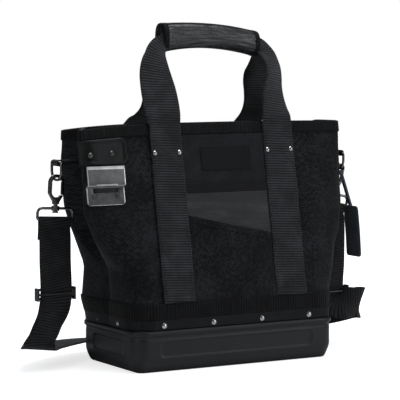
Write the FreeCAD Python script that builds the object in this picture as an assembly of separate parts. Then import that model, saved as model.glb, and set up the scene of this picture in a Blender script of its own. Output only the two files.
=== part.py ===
# Garden tool bag: a tall canvas tote with a moulded base, webbing handles, a tape clip and a clip-on shoulder strap.
# Millimetres, +Z up, -Y is the front, origin at the centre of the tray's underside.
import FreeCAD, Part
import math
import os

V = FreeCAD.Vector
os.makedirs("parts", exist_ok=True)

# ---- base tray ----
tray_length = 333.0
tray_depth = 172.0
tray_height = 59.5
tray_corner = 30.0
tray_wall = 3.0
tray_floor = 4.0
tray_chamfer = 12.0
tray_chamfer_top = 19.0
tray_lip = 1.5
tray_lip_height = 7.0
upstand_height = 15.0
upstand_wall = 2.2
recess_depth = 1.2
recess_margin = 46.0
recess_low = 22.0
recess_high = 43.0

# ---- fabric body ----
shell_foot = 60.0
slope_start = 98.0
rim_height = 350.0
shell_wall = 4.0
foot_half_length = 165.0
foot_half_depth = 85.0
foot_corner = 26.0
foot_play = 0.3
slope_half_depth = 84.0
rim_half_depth = 38.0
trim_thickness = 1.2
hem_top = 75.0
band_top = slope_start
binding_drop = 17.0

# Sections of the body at each height: half the straight side's length, the corner's points at one end (corner,
# corner's end, fold edge, crease), and how far the front and the back have drifted along X as the cloth leans.
fold_sections = {
    shell_foot: (135, [(156.2, 76.2), (165, 55), (165, 10), (164, 0)], 0, 0),
    slope_start: (135, [(156.2, 75.2), (165, 54), (165.5, 10), (164, 0)], 0, 0),
    137.0: (137, [(157, 68), (166, 47), (168, 9), (164, 0)], 0, 0),
    190.0: (150, [(178, 60), (194, 48), (200, 36), (174, 0)], -3, 0),
    235.0: (170, [(194, 57.5), (207, 55.5), (213, 49.5), (186, 0)], -15, 0),
    290.0: (180, [(200, 48.3), (211, 47), (215, 42.5), (194, 0)], -14, -3),
    rim_height: (186, [(204, 37.7), (212, 36.8), (216, 33), (199, 0)], -12, -5),
}

# ---- webbing on the panels ----
strap_width = 50.0
strap_thickness = 2.5
strap_centres = (-96.0, 92.0)
strap_lift = 1.3

# ---- handles ----
hinge_height = 352.5
hinge_half_depth = 43.5
grip_height = 472.0
loop_half_depth = 8.0
grip_radius = 19.0
grip_ends = (-78.0, 86.0)
grip_gap = 0.2
cuff_width = 26.0
cuff_thickness = 1.2

# ---- front panel pieces ----
middle_left = -70.0
middle_right = 66.0
facing_low = 263.0
facing_high = 332.0
pocket_binding_low = 250.0
pocket_edge_left = 218.0
pocket_edge_right = 188.0
pocket_gap = 7.5
pocket_wall = 1.5
label_half = 41.0
label_centre = 1.0
label_low = 281.0
label_high = 315.0

# ---- tape clip ----
clip_left = -229.0
clip_right = -170.0
clip_low = 238.0
clip_bend = 264.0
clip_high = 291.0
clip_steel = 1.6
clip_standoff = 6.0
clip_backing = 2.0
flap_high = 331.0
flap_right = -160.0

# ---- rivets ----
base_rivet_height = 66.5
base_rivet_spacing = 81.0
side_rivet_spacing = 62.0
base_rivet_radius = 4.2
strap_rivet_radius = 3.3
strap_rivet_height = 308.0
strap_rivet_spacing = 40.0

# ---- strap hardware ----
wire = 2.0
ring_half = 15.0
ring_drop = 24.0
ring_corner = 4.0
tab_width = 21.0
tab_thickness = 5.0
left_ring = V(-247, 0, 272)
right_ring = V(241, 18, 272)
left_turn = 0.0
right_turn = 0.0
left_lean = 3.0
right_lean = 12.0
mouth_radius = 7.5
mouth_centre = -4.0
mouth_low = -17.0
hook_wall = 4.5
hook_half_thickness = 2.5
gate_top = -2.0
gate_foot = -20.0
gate_width = 3.6
post_radius = 3.0
post_play = 0.08
loop_top = -40.0
loop_bar = -56.0
loop_half = 27.5
loop_corner = 7.0
slider_half = 28.5
slider_height = 18.0
slider_plate = 3.0
slider_bar = 1.8
left_slider_height = 111.0
right_slider_height = 82.0

# ---- hang tag ----
tag_width = 40.0
tag_height = 78.0
tag_thickness = 3.0
tag_top = 217.0
tag_centre = V(249, -8, 0)
tag_strap_width = 6.0
tag_strap_thickness = 1.6

slope = math.atan((slope_half_depth - rim_half_depth) / (rim_height - slope_start))


def save(shape, node):
    shape.exportStep("parts/" + node + ".step")
    print(node, len(shape.Solids), "solid(s), volume", round(shape.Volume, 1), "valid", shape.isValid())


def rounded_rectangle(length, depth, radius, height):
    x = length / 2.0
    y = depth / 2.0
    edges = []
    for sign_x, sign_y, start in ((1, 1, 0), (-1, 1, 90), (-1, -1, 180), (1, -1, 270)):
        centre = V(sign_x * (x - radius), sign_y * (y - radius), height)
        edges.append(Part.ArcOfCircle(Part.Circle(centre, V(0, 0, 1), radius),
                                      math.radians(start), math.radians(start + 90)).toShape())
    ends = [(e.valueAt(e.FirstParameter), e.valueAt(e.LastParameter)) for e in edges]
    joined = []
    for index, edge in enumerate(edges):
        joined.append(edge)
        joined.append(Part.LineSegment(ends[index][1], ends[(index + 1) % 4][0]).toShape())
    return Part.Wire(joined)


def prism(length, depth, radius, low, high):
    return Part.Face(rounded_rectangle(length, depth, radius, low)).extrude(V(0, 0, high - low))


def side_depth(height):
    """How far the front and back stand from the middle at a height."""
    if height < slope_start:
        return foot_half_depth
    return slope_half_depth - (height - slope_start) * math.tan(slope)


def body_outline(height, grow=0.0):
    """Closed outline of the body at one of its section heights, moved outwards by grow."""
    straight, corner, front_drift, back_drift = fold_sections[height]
    depth = side_depth(height)
    half = [(straight, depth)] + corner
    front = [(x, -y) for x, y in half]
    back = [(x, y) for x, y in reversed(half[:-1])]
    right = front + back
    left = [(-x, y) for x, y in reversed(right)]
    points = right + left
    moved = []
    for index, (x, y) in enumerate(points):
        before = points[index - 1]
        after = points[(index + 1) % len(points)]
        one = (x - before[0], y - before[1])
        two = (after[0] - x, after[1] - y)
        n1 = (one[1] / math.hypot(*one), -one[0] / math.hypot(*one))
        n2 = (two[1] / math.hypot(*two), -two[0] / math.hypot(*two))
        scale = grow / (1 + n1[0] * n2[0] + n1[1] * n2[1])
        drift = (front_drift * (depth - y) + back_drift * (depth + y)) / (2 * depth)
        moved.append(V(x + scale * (n1[0] + n2[0]) + drift, y + scale * (n1[1] + n2[1]), height))
    return moved


def between(height, grow=0.0):
    """Outline at any height, straight between the two sections beside it."""
    heights = sorted(fold_sections)
    low = max([h for h in heights if h <= height] or [heights[0]])
    high = min([h for h in heights if h >= height] or [heights[-1]])
    if low == high:
        return body_outline(low, grow)
    part = (height - low) / (high - low)
    pairs = zip(body_outline(low, grow), body_outline(high, grow))
    return [a + (b - a) * part for a, b in pairs]


def loft(outlines):
    wires = [Part.makePolygon(points + [points[0]]) for points in outlines]
    return Part.makeLoft(wires, True, True)


def body_ring(low, high, inner, outer):
    heights = [low] + [h for h in sorted(fold_sections) if low < h < high] + [high]
    return loft([between(h, outer) for h in heights]).cut(loft([between(h, inner) for h in heights]))


def panel_frame(side):
    """Placement of the sloping panel: x across, y up the slope, z outwards. side is -1 in front, 1 behind."""
    up = V(0, -side * math.sin(slope), math.cos(slope))
    out = V(0, side * math.cos(slope), math.sin(slope))
    across = up.cross(out)
    matrix = FreeCAD.Matrix(across.x, up.x, out.x, 0, across.y, up.y, out.y, side * slope_half_depth,
                            across.z, up.z, out.z, slope_start, 0, 0, 0, 1)
    return FreeCAD.Placement(matrix)


def along(height):
    return (height - slope_start) / math.cos(slope)


def on_panel(points, low, high, side=-1):
    """A flat piece on the sloping panel: points are (x, height), low and high are off the panel."""
    sign = -side
    flat = [V(sign * x, along(z), low) for x, z in points]
    shape = Part.Face(Part.makePolygon(flat + [flat[0]])).extrude(V(0, 0, high - low))
    shape.Placement = panel_frame(side)
    return shape


def rectangle(left, right, low, high):
    return [(left, low), (right, low), (right, high), (left, high)]


def rivet(centre, out, radius, tail):
    """A domed rivet with its head on centre and its shank running in by tail, with a flat inner head."""
    rise = radius * 0.42
    ball = (radius ** 2 + rise ** 2) / (2 * rise)
    dome = Part.makeSphere(ball, V(0, 0, 0.5 + rise - ball)).common(Part.makeCylinder(radius, 20))
    shank = Part.makeCylinder(radius * 0.4, tail + 0.3, V(0, 0, -tail - 0.2))
    inner_head = Part.makeCylinder(radius * 0.8, 1.0, V(0, 0, -tail - 1.0))
    solid = dome.fuse(shank).fuse(inner_head).removeSplitter()
    solid.Placement = FreeCAD.Placement(centre, FreeCAD.Rotation(V(0, 0, 1), out))
    return solid


def panel_point(x, height, off, side=-1):
    return panel_frame(side).multVec(V(-side * x, along(height), off))


def panel_normal(side=-1):
    return V(0, side * math.cos(slope), math.sin(slope))


# ---- base tray ----
def make_tray():
    low = rounded_rectangle(tray_length - 2 * tray_chamfer, tray_depth - 2 * tray_chamfer, tray_corner - tray_chamfer, 0)
    high = rounded_rectangle(tray_length, tray_depth, tray_corner, tray_chamfer_top)
    body = Part.makeLoft([low, high], True, True)
    body = body.fuse(prism(tray_length, tray_depth, tray_corner, tray_chamfer_top, tray_height))
    body = body.fuse(prism(tray_length + 2 * tray_lip, tray_depth + 2 * tray_lip, tray_corner + tray_lip,
                           tray_height - tray_lip_height, tray_height))
    inner = 2 * (shell_wall + upstand_wall)
    foot_length = 2 * (foot_half_length - foot_play)
    foot_depth = 2 * (foot_half_depth - foot_play)
    upstand = prism(foot_length - 2 * shell_wall, foot_depth - 2 * shell_wall, foot_corner, tray_height,
                    tray_height + upstand_height)
    body = body.fuse(upstand)
    hollow_low = rounded_rectangle(tray_length - 2 * tray_chamfer - inner, tray_depth - 2 * tray_chamfer - inner,
                                   tray_corner - tray_chamfer - 4, tray_floor)
    hollow_corner = foot_corner - 4
    hollow_high = rounded_rectangle(foot_length - inner, foot_depth - inner, hollow_corner, tray_chamfer_top + tray_floor)
    hollow = Part.makeLoft([hollow_low, hollow_high], True, True)
    hollow = hollow.fuse(prism(foot_length - inner, foot_depth - inner, hollow_corner, tray_chamfer_top + tray_floor,
                               tray_height + upstand_height + 1))
    body = body.cut(hollow)
    for side in (-1, 1):
        wide = Part.makeBox(tray_length - 2 * recess_margin, recess_depth + 1, recess_high - recess_low)
        wide.translate(V(-tray_length / 2 + recess_margin, side * (tray_depth / 2) - (recess_depth if side > 0 else 1),
                         recess_low))
        body = body.cut(wide)
        narrow = Part.makeBox(recess_depth + 1, tray_depth - 2 * recess_margin, recess_high - recess_low)
        narrow.translate(V(side * (tray_length / 2) - (recess_depth if side > 0 else 1),
                           -tray_depth / 2 + recess_margin, recess_low))
        body = body.cut(narrow)
    return body.removeSplitter()


# ---- body ----
def make_shell():
    heights = sorted(fold_sections)
    outer = loft([body_outline(h) for h in heights])
    inner = loft([body_outline(h, -shell_wall) for h in heights])
    return outer.cut(inner)


def base_rivets():
    """Four rivets along each long side and two on each end, through hem, body and upstand."""
    tail = trim_thickness + shell_wall + upstand_wall + 0.4
    out = []
    for side in (-1, 1):
        for step in (-1.5, -0.5, 0.5, 1.5):
            out.append(rivet(V(step * base_rivet_spacing, side * (foot_half_depth + trim_thickness), base_rivet_height),
                             V(0, side, 0), base_rivet_radius, tail))
        for step in (-0.5, 0.5):
            out.append(rivet(V(side * (foot_half_length + trim_thickness), step * side_rivet_spacing, base_rivet_height),
                             V(side, 0, 0), base_rivet_radius, tail))
    return Part.makeCompound(out)


def strap_rivets(side):
    out = []
    for centre in strap_centres:
        for step in (-0.5, 0.5):
            point = panel_point(centre + step * strap_rivet_spacing, strap_rivet_height, strap_lift + strap_thickness, side)
            out.append(rivet(point, panel_normal(side), strap_rivet_radius, strap_lift + strap_thickness + shell_wall))
    return Part.makeCompound(out)


def cut_rivets(shape, rivets):
    for solid in rivets.Solids:
        shape = shape.cut(solid)
    return shape


# ---- handles ----
def handle_frame(side):
    tilt = math.atan((hinge_half_depth - loop_half_depth) / (grip_height - hinge_height))
    up = V(0, -side * math.sin(tilt), math.cos(tilt))
    out = V(0, side * math.cos(tilt), math.sin(tilt))
    across = up.cross(out)
    matrix = FreeCAD.Matrix(across.x, up.x, out.x, 0, across.y, up.y, out.y, side * hinge_half_depth,
                            across.z, up.z, out.z, hinge_height, 0, 0, 0, 1)
    return FreeCAD.Placement(matrix), (grip_height - hinge_height) / math.cos(tilt)


def handle_loop(side):
    """One flat webbing arch: two legs, rolled at their hinge lines, that turn inwards and run through the grip."""
    place, reach = handle_frame(side)
    left = strap_centres[0] - strap_width / 2
    right = strap_centres[1] + strap_width / 2
    inner_left = left + strap_width
    inner_right = right - strap_width
    top = reach + 9
    under = reach - 13
    points = [V(left, 0, 0), V(left, 82, 0), V(left + 9, 114, 0), V(left + 40, top, 0),
              V(right - 40, top, 0), V(right - 9, 114, 0), V(right, 82, 0), V(right, 0, 0),
              V(inner_right, 0, 0), V(inner_right, 84, 0), V(inner_right - 4, 101, 0), V(inner_right - 18, under, 0),
              V(inner_left + 18, under, 0), V(inner_left + 4, 101, 0), V(inner_left, 84, 0), V(inner_left, 0, 0)]
    p = [V(-side * q.x, q.y, -strap_thickness / 2) for q in points]
    edges = [Part.LineSegment(p[0], p[1]), Part.Arc(p[1], p[2], p[3]), Part.LineSegment(p[3], p[4]),
             Part.Arc(p[4], p[5], p[6]), Part.LineSegment(p[6], p[7]), Part.LineSegment(p[7], p[8]),
             Part.LineSegment(p[8], p[9]), Part.Arc(p[9], p[10], p[11]), Part.LineSegment(p[11], p[12]),
             Part.Arc(p[12], p[13], p[14]), Part.LineSegment(p[14], p[15]), Part.LineSegment(p[15], p[0])]
    shape = Part.Face(Part.Wire([e.toShape() for e in edges])).extrude(V(0, 0, strap_thickness))
    for centre in strap_centres:
        start = V(-side * centre - strap_width / 2, 0, 0)
        shape = shape.fuse(Part.makeCylinder(strap_thickness / 2, strap_width, start, V(1, 0, 0)))
    shape = shape.removeSplitter()
    shape.Placement = place
    return shape


def half_bar(side, left, right, radius, inner=0.0):
    bar = Part.makeCylinder(radius, right - left, V(left, 0, grip_height), V(1, 0, 0))
    if inner:
        bar = bar.cut(Part.makeCylinder(inner, right - left, V(left, 0, grip_height), V(1, 0, 0)))
    keep = Part.makeBox(right - left, radius + 5, 2 * radius + 10)
    keep.translate(V(left, grip_gap if side > 0 else -grip_gap - radius - 5, grip_height - radius - 5))
    return bar.common(keep)


# ---- front pocket ----
def pocket_shape():
    points = [(middle_left, slope_start), (middle_right, slope_start), (middle_right, pocket_edge_right),
              (middle_left, pocket_edge_left)]
    outer = on_panel(points, 0.0, pocket_gap + pocket_wall)
    lower = [(middle_left + 3, slope_start + 3), (middle_right - 3, slope_start + 3),
             (middle_right - 3, pocket_edge_right + 6), (middle_left + 3, pocket_edge_left + 6)]
    return outer.cut(on_panel(lower, 0.0, pocket_gap))


# ---- tape clip ----
def clip_plate_shape():
    """Pressed plate: flat foot riveted down, a step with a slot, and an upper tongue that stands off."""
    foot_low = clip_backing
    foot = on_panel(rectangle(clip_left, clip_right, clip_low, clip_bend), foot_low, foot_low + clip_steel)
    step = on_panel(rectangle(clip_left, clip_right, clip_bend - clip_steel, clip_bend), foot_low,
                    foot_low + clip_standoff + clip_steel)
    tongue = on_panel(rectangle(clip_left, clip_right, clip_bend - clip_steel, clip_high),
                      foot_low + clip_standoff, foot_low + clip_standoff + clip_steel)
    plate = foot.fuse(step).fuse(tongue).removeSplitter()
    slot = on_panel(rectangle(clip_left + 10, clip_right - 9, clip_bend - 6, clip_bend - 1.4), 0, 20)
    return plate.cut(slot)


def clip_leather_shape():
    backing = on_panel(rectangle(clip_left - 3, clip_right + 3, clip_low - 3, clip_high + 2), 0, clip_backing)
    flap = on_panel([(clip_left - 1, clip_high + 1), (flap_right, clip_high + 5), (flap_right, flap_high - 10),
                     (flap_right - 10, flap_high), (clip_left - 1, flap_high)], 0, clip_backing + 3.0)
    return backing.fuse(flap).removeSplitter()


clip_rivet_spots = {"clip_rivets_upper": [(-219, 307, 5.0), (-185.5, 309, 5.0)],
                    "clip_rivets_lower": [(-218, 250.5, 3.6), (-181.5, 250.5, 3.6)]}


def clip_rivets(name):
    out = [rivet(panel_point(x, z, off), panel_normal(), 4.0, off + shell_wall) for x, z, off in clip_rivet_spots[name]]
    return Part.makeCompound(out)


# ---- rings and hooks ----
def round_path(points, radius):
    """Straight runs in one plane joined by tangent arcs of the given radii."""
    count = len(points)
    corners = []
    for index in range(count):
        here = points[index]
        back = (points[index - 1] - here).normalize()
        on = (points[(index + 1) % count] - here).normalize()
        turn = math.acos(max(-1, min(1, back.dot(on))))
        cut = radius[index] / math.tan(turn / 2)
        middle = here + (back + on).normalize() * (radius[index] / math.sin(turn / 2) - radius[index])
        corners.append((here + back * cut, middle, here + on * cut))
    edges = []
    for index in range(count):
        start, middle, end = corners[index]
        edges.append(Part.Arc(start, middle, end).toShape())
        following = corners[(index + 1) % count][0]
        if (following - end).Length > 1e-6:
            edges.append(Part.LineSegment(end, following).toShape())
    return Part.Wire(edges)


def wire_ring(path, start, direction, radius):
    circle = Part.Wire([Part.Circle(start, direction, radius).toShape()])
    return Part.Solid(path.makePipeShell([circle], True, True))


def ring_solid(centre):
    """D-ring: straight bar above, rounded sides, centre is the middle of the lowest wire."""
    half = ring_half
    points = [centre + V(0, -half, ring_drop), centre + V(0, half, ring_drop), centre + V(0, half, 0),
              centre + V(0, -half, 0)]
    path = round_path(points, [ring_corner, ring_corner, half - 2.0, half - 2.0])
    return wire_ring(path, centre + V(0, 0, ring_drop), V(0, 1, 0), wire)


def tab_solid(ring_centre, side, body_solid):
    """Folded webbing tab: two layers out of the gusset, closed round the ring's bar."""
    bar = ring_centre + V(0, 0, ring_drop)
    inward = -side
    slab = Part.makeBox(58, tab_width, tab_thickness)
    slab.translate(V(bar.x - (58 if inward < 0 else 0), bar.y - tab_width / 2, bar.z - tab_thickness / 2))
    eye = Part.makeCylinder(wire + 3.0, tab_width, V(bar.x, bar.y - tab_width / 2, bar.z), V(0, 1, 0))
    hole = Part.makeCylinder(wire + 0.5, tab_width, V(bar.x, bar.y - tab_width / 2, bar.z), V(0, 1, 0))
    return slab.fuse(eye).removeSplitter().cut(hole).cut(body_solid)


def hook_solid():
    """Snap hook in its own frame: ring wire at the origin, swivel axis along Z, gate on the +X side."""
    outer_r = mouth_radius + hook_wall
    t = hook_half_thickness
    top = V(0, -t, mouth_centre + outer_r)
    outline = [Part.Arc(V(-outer_r, -t, mouth_centre), top, V(outer_r, -t, mouth_centre)),
               Part.LineSegment(V(outer_r, -t, mouth_centre), V(outer_r, -t, mouth_low - 2)),
               Part.LineSegment(V(outer_r, -t, mouth_low - 2), V(4.6, -t, mouth_low - 14)),
               Part.LineSegment(V(4.6, -t, mouth_low - 14), V(4.6, -t, mouth_low - 17)),
               Part.LineSegment(V(4.6, -t, mouth_low - 17), V(-4.6, -t, mouth_low - 17)),
               Part.LineSegment(V(-4.6, -t, mouth_low - 17), V(-4.6, -t, mouth_low - 14)),
               Part.LineSegment(V(-4.6, -t, mouth_low - 14), V(-outer_r, -t, mouth_low - 2)),
               Part.LineSegment(V(-outer_r, -t, mouth_low - 2), V(-outer_r, -t, mouth_centre))]
    plate = Part.Face(Part.Wire([e.toShape() for e in outline])).extrude(V(0, 2 * t, 0))
    mouth = Part.makeCylinder(mouth_radius, 20, V(0, -10, mouth_centre), V(0, 1, 0))
    mouth = mouth.fuse(Part.makeCylinder(mouth_radius, 20, V(0, -10, mouth_low), V(0, 1, 0)))
    mouth = mouth.fuse(Part.makeBox(2 * mouth_radius, 20, mouth_centre - mouth_low, V(-mouth_radius, -10, mouth_low)))
    plate = plate.cut(mouth)
    window = Part.makeBox(hook_wall + 3, 20, gate_top - gate_foot + 2.0, V(mouth_radius - 1.6, -10, gate_foot - 1.4))
    plate = plate.cut(window)
    post = Part.makeCylinder(post_radius, 13.5, V(0, 0, mouth_low - 29.0), V(0, 0, 1))
    head = Part.makeCylinder(post_radius + 1.4, 2.0, V(0, 0, mouth_low - 29.4), V(0, 0, 1))
    return plate.fuse(post).fuse(head).removeSplitter()


def gate_solid():
    bar = Part.makeBox(gate_width, 2 * hook_half_thickness - 1.0, gate_top - gate_foot - 0.4,
                       V(mouth_radius + 0.3, -hook_half_thickness + 0.5, gate_foot + 0.4))
    heel = Part.makeCylinder(1.8, 2 * hook_half_thickness - 1.0,
                             V(mouth_radius + 0.3 + gate_width / 2, -hook_half_thickness + 0.5, gate_foot + 0.8), V(0, 1, 0))
    return bar.fuse(heel).removeSplitter()


def strap_loop_solid():
    """Rectangular swivel loop with a collar round the hook's post."""
    points = [V(-loop_half, 0, loop_bar), V(loop_half, 0, loop_bar), V(loop_half, 0, loop_top), V(-loop_half, 0, loop_top)]
    path = round_path(points, [3.0, 3.0, loop_corner, loop_corner])
    frame = wire_ring(path, V(0, 0, loop_bar), V(1, 0, 0), wire)
    collar = Part.makeCylinder(post_radius + 2.6, 6.6, V(0, 0, loop_top - 3.3), V(0, 0, 1))
    hole = Part.makeCylinder(post_radius + post_play, 20, V(0, 0, loop_top - 10), V(0, 0, 1))
    return frame.fuse(collar).removeSplitter().cut(hole)


def hardware_place(centre, turn, lean):
    return FreeCAD.Placement(centre, FreeCAD.Rotation(V(0, 0, 1), turn) * FreeCAD.Rotation(V(0, 1, 0), lean))


def placed(shape, placement):
    shape = shape.copy()
    shape.Placement = placement.multiply(shape.Placement)
    return shape


def slider_solid(centre, turn):
    """Tri-glide slider: two end plates and three bars, the strap woven between them."""
    out = None
    for sign in (-1, 1):
        plate = Part.makeBox(slider_plate, 10.4, slider_height,
                             V(sign * slider_half - slider_plate / 2, -5.2, -slider_height / 2))
        out = plate if out is None else out.fuse(plate)
    for depth, height in ((3.4, -6.5), (-3.4, 0.0), (3.4, 6.5)):
        out = out.fuse(Part.makeCylinder(slider_bar, 2 * slider_half, V(-slider_half, depth, height), V(1, 0, 0)))
    return placed(out.removeSplitter(), FreeCAD.Placement(centre, FreeCAD.Rotation(V(0, 0, 1), turn)))


# ---- shoulder strap ----
def strap_route(left_top, right_top):
    """Stations of the strap: centre and the direction of its width."""
    across = V(math.cos(math.radians(right_turn)), math.sin(math.radians(right_turn)), 0)
    return [
        (left_top, V(1, 0, 0)),
        (V(left_top.x, 0, 96), V(1, 0, 0)),
        (V(-262, 0, 66), V(1, 0, 0)),
        (V(-270, 4, 47), V(1, 0, 0)),
        (V(-267, 20, 34), V(0.95, -0.3, 0)),
        (V(-243, 50, 28), V(0.70, -0.71, 0)),
        (V(-200, 85, 25), V(0.60, -0.80, 0)),
        (V(-145, 114, 24), V(0.30, -0.95, 0.1)),
        (V(-75, 119, 26), V(0, -0.92, 0.38)),
        (V(5, 119, 29), V(0, -0.70, 0.71)),
        (V(85, 117, 33), V(0, -0.38, 0.92)),
        (V(155, 112, 36), V(0, -0.10, 1)),
        (V(215, 88, 41), V(0, 0.05, 1)),
        (V(262, 48, 49), V(0, 0.08, 1)),
        (V(284, 27, 55), V(0, 0.08, 1)),
        (V(280, 12, 58), V(0.10, 0, 1)),
        (V(260, 8, 60), V(0.35, -0.05, 0.93)),
        (V(240, 13, 66), V(0.80, -0.10, 0.55)),
        (V(right_top.x, right_top.y, 74), across),
        (right_top, across),
    ]


def ribbon(stations):
    """A flat webbing solid through the stations, as straight-ruled spans."""
    wires = []
    count = len(stations)
    for index, (centre, width) in enumerate(stations):
        ahead = stations[min(index + 1, count - 1)][0]
        behind = stations[max(index - 1, 0)][0]
        travel = (ahead - behind).normalize()
        width = (width - travel * width.dot(travel)).normalize()
        normal = travel.cross(width)
        w = width * (strap_width / 2 - 1)
        n = normal * (strap_thickness / 2)
        corners = [centre - w - n, centre + w - n, centre + w + n, centre - w + n]
        wires.append(Part.makePolygon(corners + [corners[0]]))
    return Part.makeLoft(wires, True, True)


def strap_end(placement):
    """The strap's sewn eye round the loop's bar."""
    eye = Part.makeCylinder(wire + 2.7, strap_width - 4, V(-strap_width / 2 + 2, 0, loop_bar), V(1, 0, 0))
    hole = Part.makeCylinder(wire + 0.2, strap_width - 4, V(-strap_width / 2 + 2, 0, loop_bar), V(1, 0, 0))
    return placed(eye.cut(hole), placement)


# ---- hang tag ----
def tag_solid():
    box = Part.makeBox(tag_thickness, tag_width, tag_height)
    box.translate(V(tag_centre.x - tag_thickness / 2, tag_centre.y - tag_width / 2, tag_top - tag_height))
    return box


def tag_strap_solid():
    """A leather loop through the ring: two strands that meet at the tag's top edge."""
    y = right_ring.y - 7
    t = tag_strap_thickness
    bend = wire + 2.4
    eye_centre = V(right_ring.x, y, right_ring.z + 1.1)
    ring = Part.makeCylinder(bend + t, tag_strap_width, eye_centre - V(0, tag_strap_width / 2, 0), V(0, 1, 0))
    ring = ring.cut(Part.makeCylinder(bend, tag_strap_width, eye_centre - V(0, tag_strap_width / 2, 0), V(0, 1, 0)))
    foot = V(tag_centre.x, tag_centre.y, tag_top - 6)
    start = eye_centre - V(0, 0, bend)
    strand_w = V(0, tag_strap_width / 2, 0)
    strand_t = V(t, 0, 0)
    low = [foot - strand_w - strand_t, foot + strand_w - strand_t, foot + strand_w + strand_t, foot - strand_w + strand_t]
    high = [start - strand_w - strand_t, start + strand_w - strand_t, start + strand_w + strand_t, start - strand_w + strand_t]
    strand = Part.makeLoft([Part.makePolygon(c + [c[0]]) for c in (low, high)], True, True)
    clear = Part.makeCylinder(bend, tag_strap_width * 3, eye_centre - V(0, tag_strap_width * 1.5, 0), V(0, 1, 0))
    return ring.fuse(strand.cut(clear)).removeSplitter()


def main():
    outer_body = loft([body_outline(h) for h in sorted(fold_sections)])
    rivets = base_rivets()
    front_rivets = strap_rivets(-1)
    back_rivets = strap_rivets(1)
    upper = clip_rivets("clip_rivets_upper")
    lower = clip_rivets("clip_rivets_lower")
    shell = make_shell()
    for group in (rivets, front_rivets, back_rivets, upper, lower):
        shell = cut_rivets(shell, group)
    save(cut_rivets(make_tray().cut(shell), rivets), "base_tray")
    save(shell, "tote_shell")
    save(cut_rivets(body_ring(shell_foot, hem_top, 0, trim_thickness), rivets), "hem_strip")
    save(body_ring(hem_top, band_top, 0, trim_thickness), "lower_band")
    save(body_ring(rim_height - binding_drop, rim_height, 0, trim_thickness), "top_binding")
    save(rivets, "base_rivets")
    save(front_rivets, "front_strap_rivets")
    save(back_rivets, "back_strap_rivets")
    for side, name, group in ((-1, "front", front_rivets), (1, "back", back_rivets)):
        for centre, hand in zip(strap_centres, ("left", "right")):
            strap = on_panel(rectangle(centre - strap_width / 2, centre + strap_width / 2, slope_start + 1, rim_height),
                             strap_lift, strap_lift + strap_thickness, side)
            save(cut_rivets(strap, group), name + "_strap_" + hand)
        loop = handle_loop(side)
        save(loop, name + "_handle_loop")
        save(half_bar(side, grip_ends[0], grip_ends[1], grip_radius).cut(loop), "grip_" + name + "_half")
        for hand, start in (("left", grip_ends[0]), ("right", grip_ends[1] - cuff_width)):
            cuff = half_bar(side, start, start + cuff_width, grip_radius + cuff_thickness, grip_radius)
            save(cuff.cut(loop), "grip_" + name + "_cuff_" + hand)
    save(on_panel(rectangle(middle_left, middle_right, facing_low, facing_high), 0, trim_thickness), "front_facing")
    save(on_panel(rectangle(label_centre - label_half, label_centre + label_half, label_low, label_high),
                  trim_thickness, trim_thickness + 1.0), "woven_label")
    save(on_panel(rectangle(middle_left, middle_right, pocket_binding_low, facing_low), 0, 1.6), "pocket_binding")
    save(on_panel([(middle_left, pocket_edge_left), (middle_right, pocket_edge_right), (middle_right, pocket_binding_low),
                   (middle_left, pocket_binding_low)], 0, 1.4), "pocket_leather")
    save(pocket_shape(), "front_pocket")
    save(cut_rivets(cut_rivets(clip_leather_shape(), upper), lower), "clip_leather")
    save(cut_rivets(clip_plate_shape(), lower), "clip_plate")
    save(upper, "clip_rivets_upper")
    save(lower, "clip_rivets_lower")
    tops = {}
    for hand, side, centre, turn, lean in (("left", -1, left_ring, left_turn, left_lean),
                                           ("right", 1, right_ring, right_turn, right_lean)):
        place = hardware_place(centre, turn, lean)
        save(tab_solid(centre, side, outer_body), hand + "_tab")
        save(ring_solid(centre), hand + "_ring")
        save(placed(hook_solid(), place), hand + "_hook")
        save(placed(gate_solid(), place), hand + "_gate")
        save(placed(strap_loop_solid(), place), hand + "_strap_loop")
        tops[hand] = (place.multVec(V(0, 0, loop_bar)), place)
        print(hand, "loop bar at", tops[hand][0], "swivel axis", place.Rotation.multVec(V(0, 0, 1)),
              "gate pin", place.multVec(V(mouth_radius + 0.3 + gate_width / 2, 0, gate_foot + 0.8)),
              "gate axis", place.Rotation.multVec(V(0, 1, 0)))
    drop = V(0, 0, wire + 2.2)
    left_top = tops["left"][0] - drop
    right_top = tops["right"][0] - drop
    strap = ribbon(strap_route(left_top, right_top))
    for hand in ("left", "right"):
        strap = strap.fuse(strap_end(tops[hand][1]))
    save(strap.removeSplitter(), "shoulder_strap")
    save(slider_solid(V(left_top.x, 0, left_slider_height), left_turn), "left_slider")
    save(slider_solid(V(right_top.x, right_top.y, right_slider_height), right_turn), "right_slider")
    save(tag_solid().cut(tag_strap_solid()), "hang_tag")
    save(tag_strap_solid(), "tag_strap")


main()
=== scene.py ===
import math
import bpy
import bmesh
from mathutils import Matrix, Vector, noise


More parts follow.
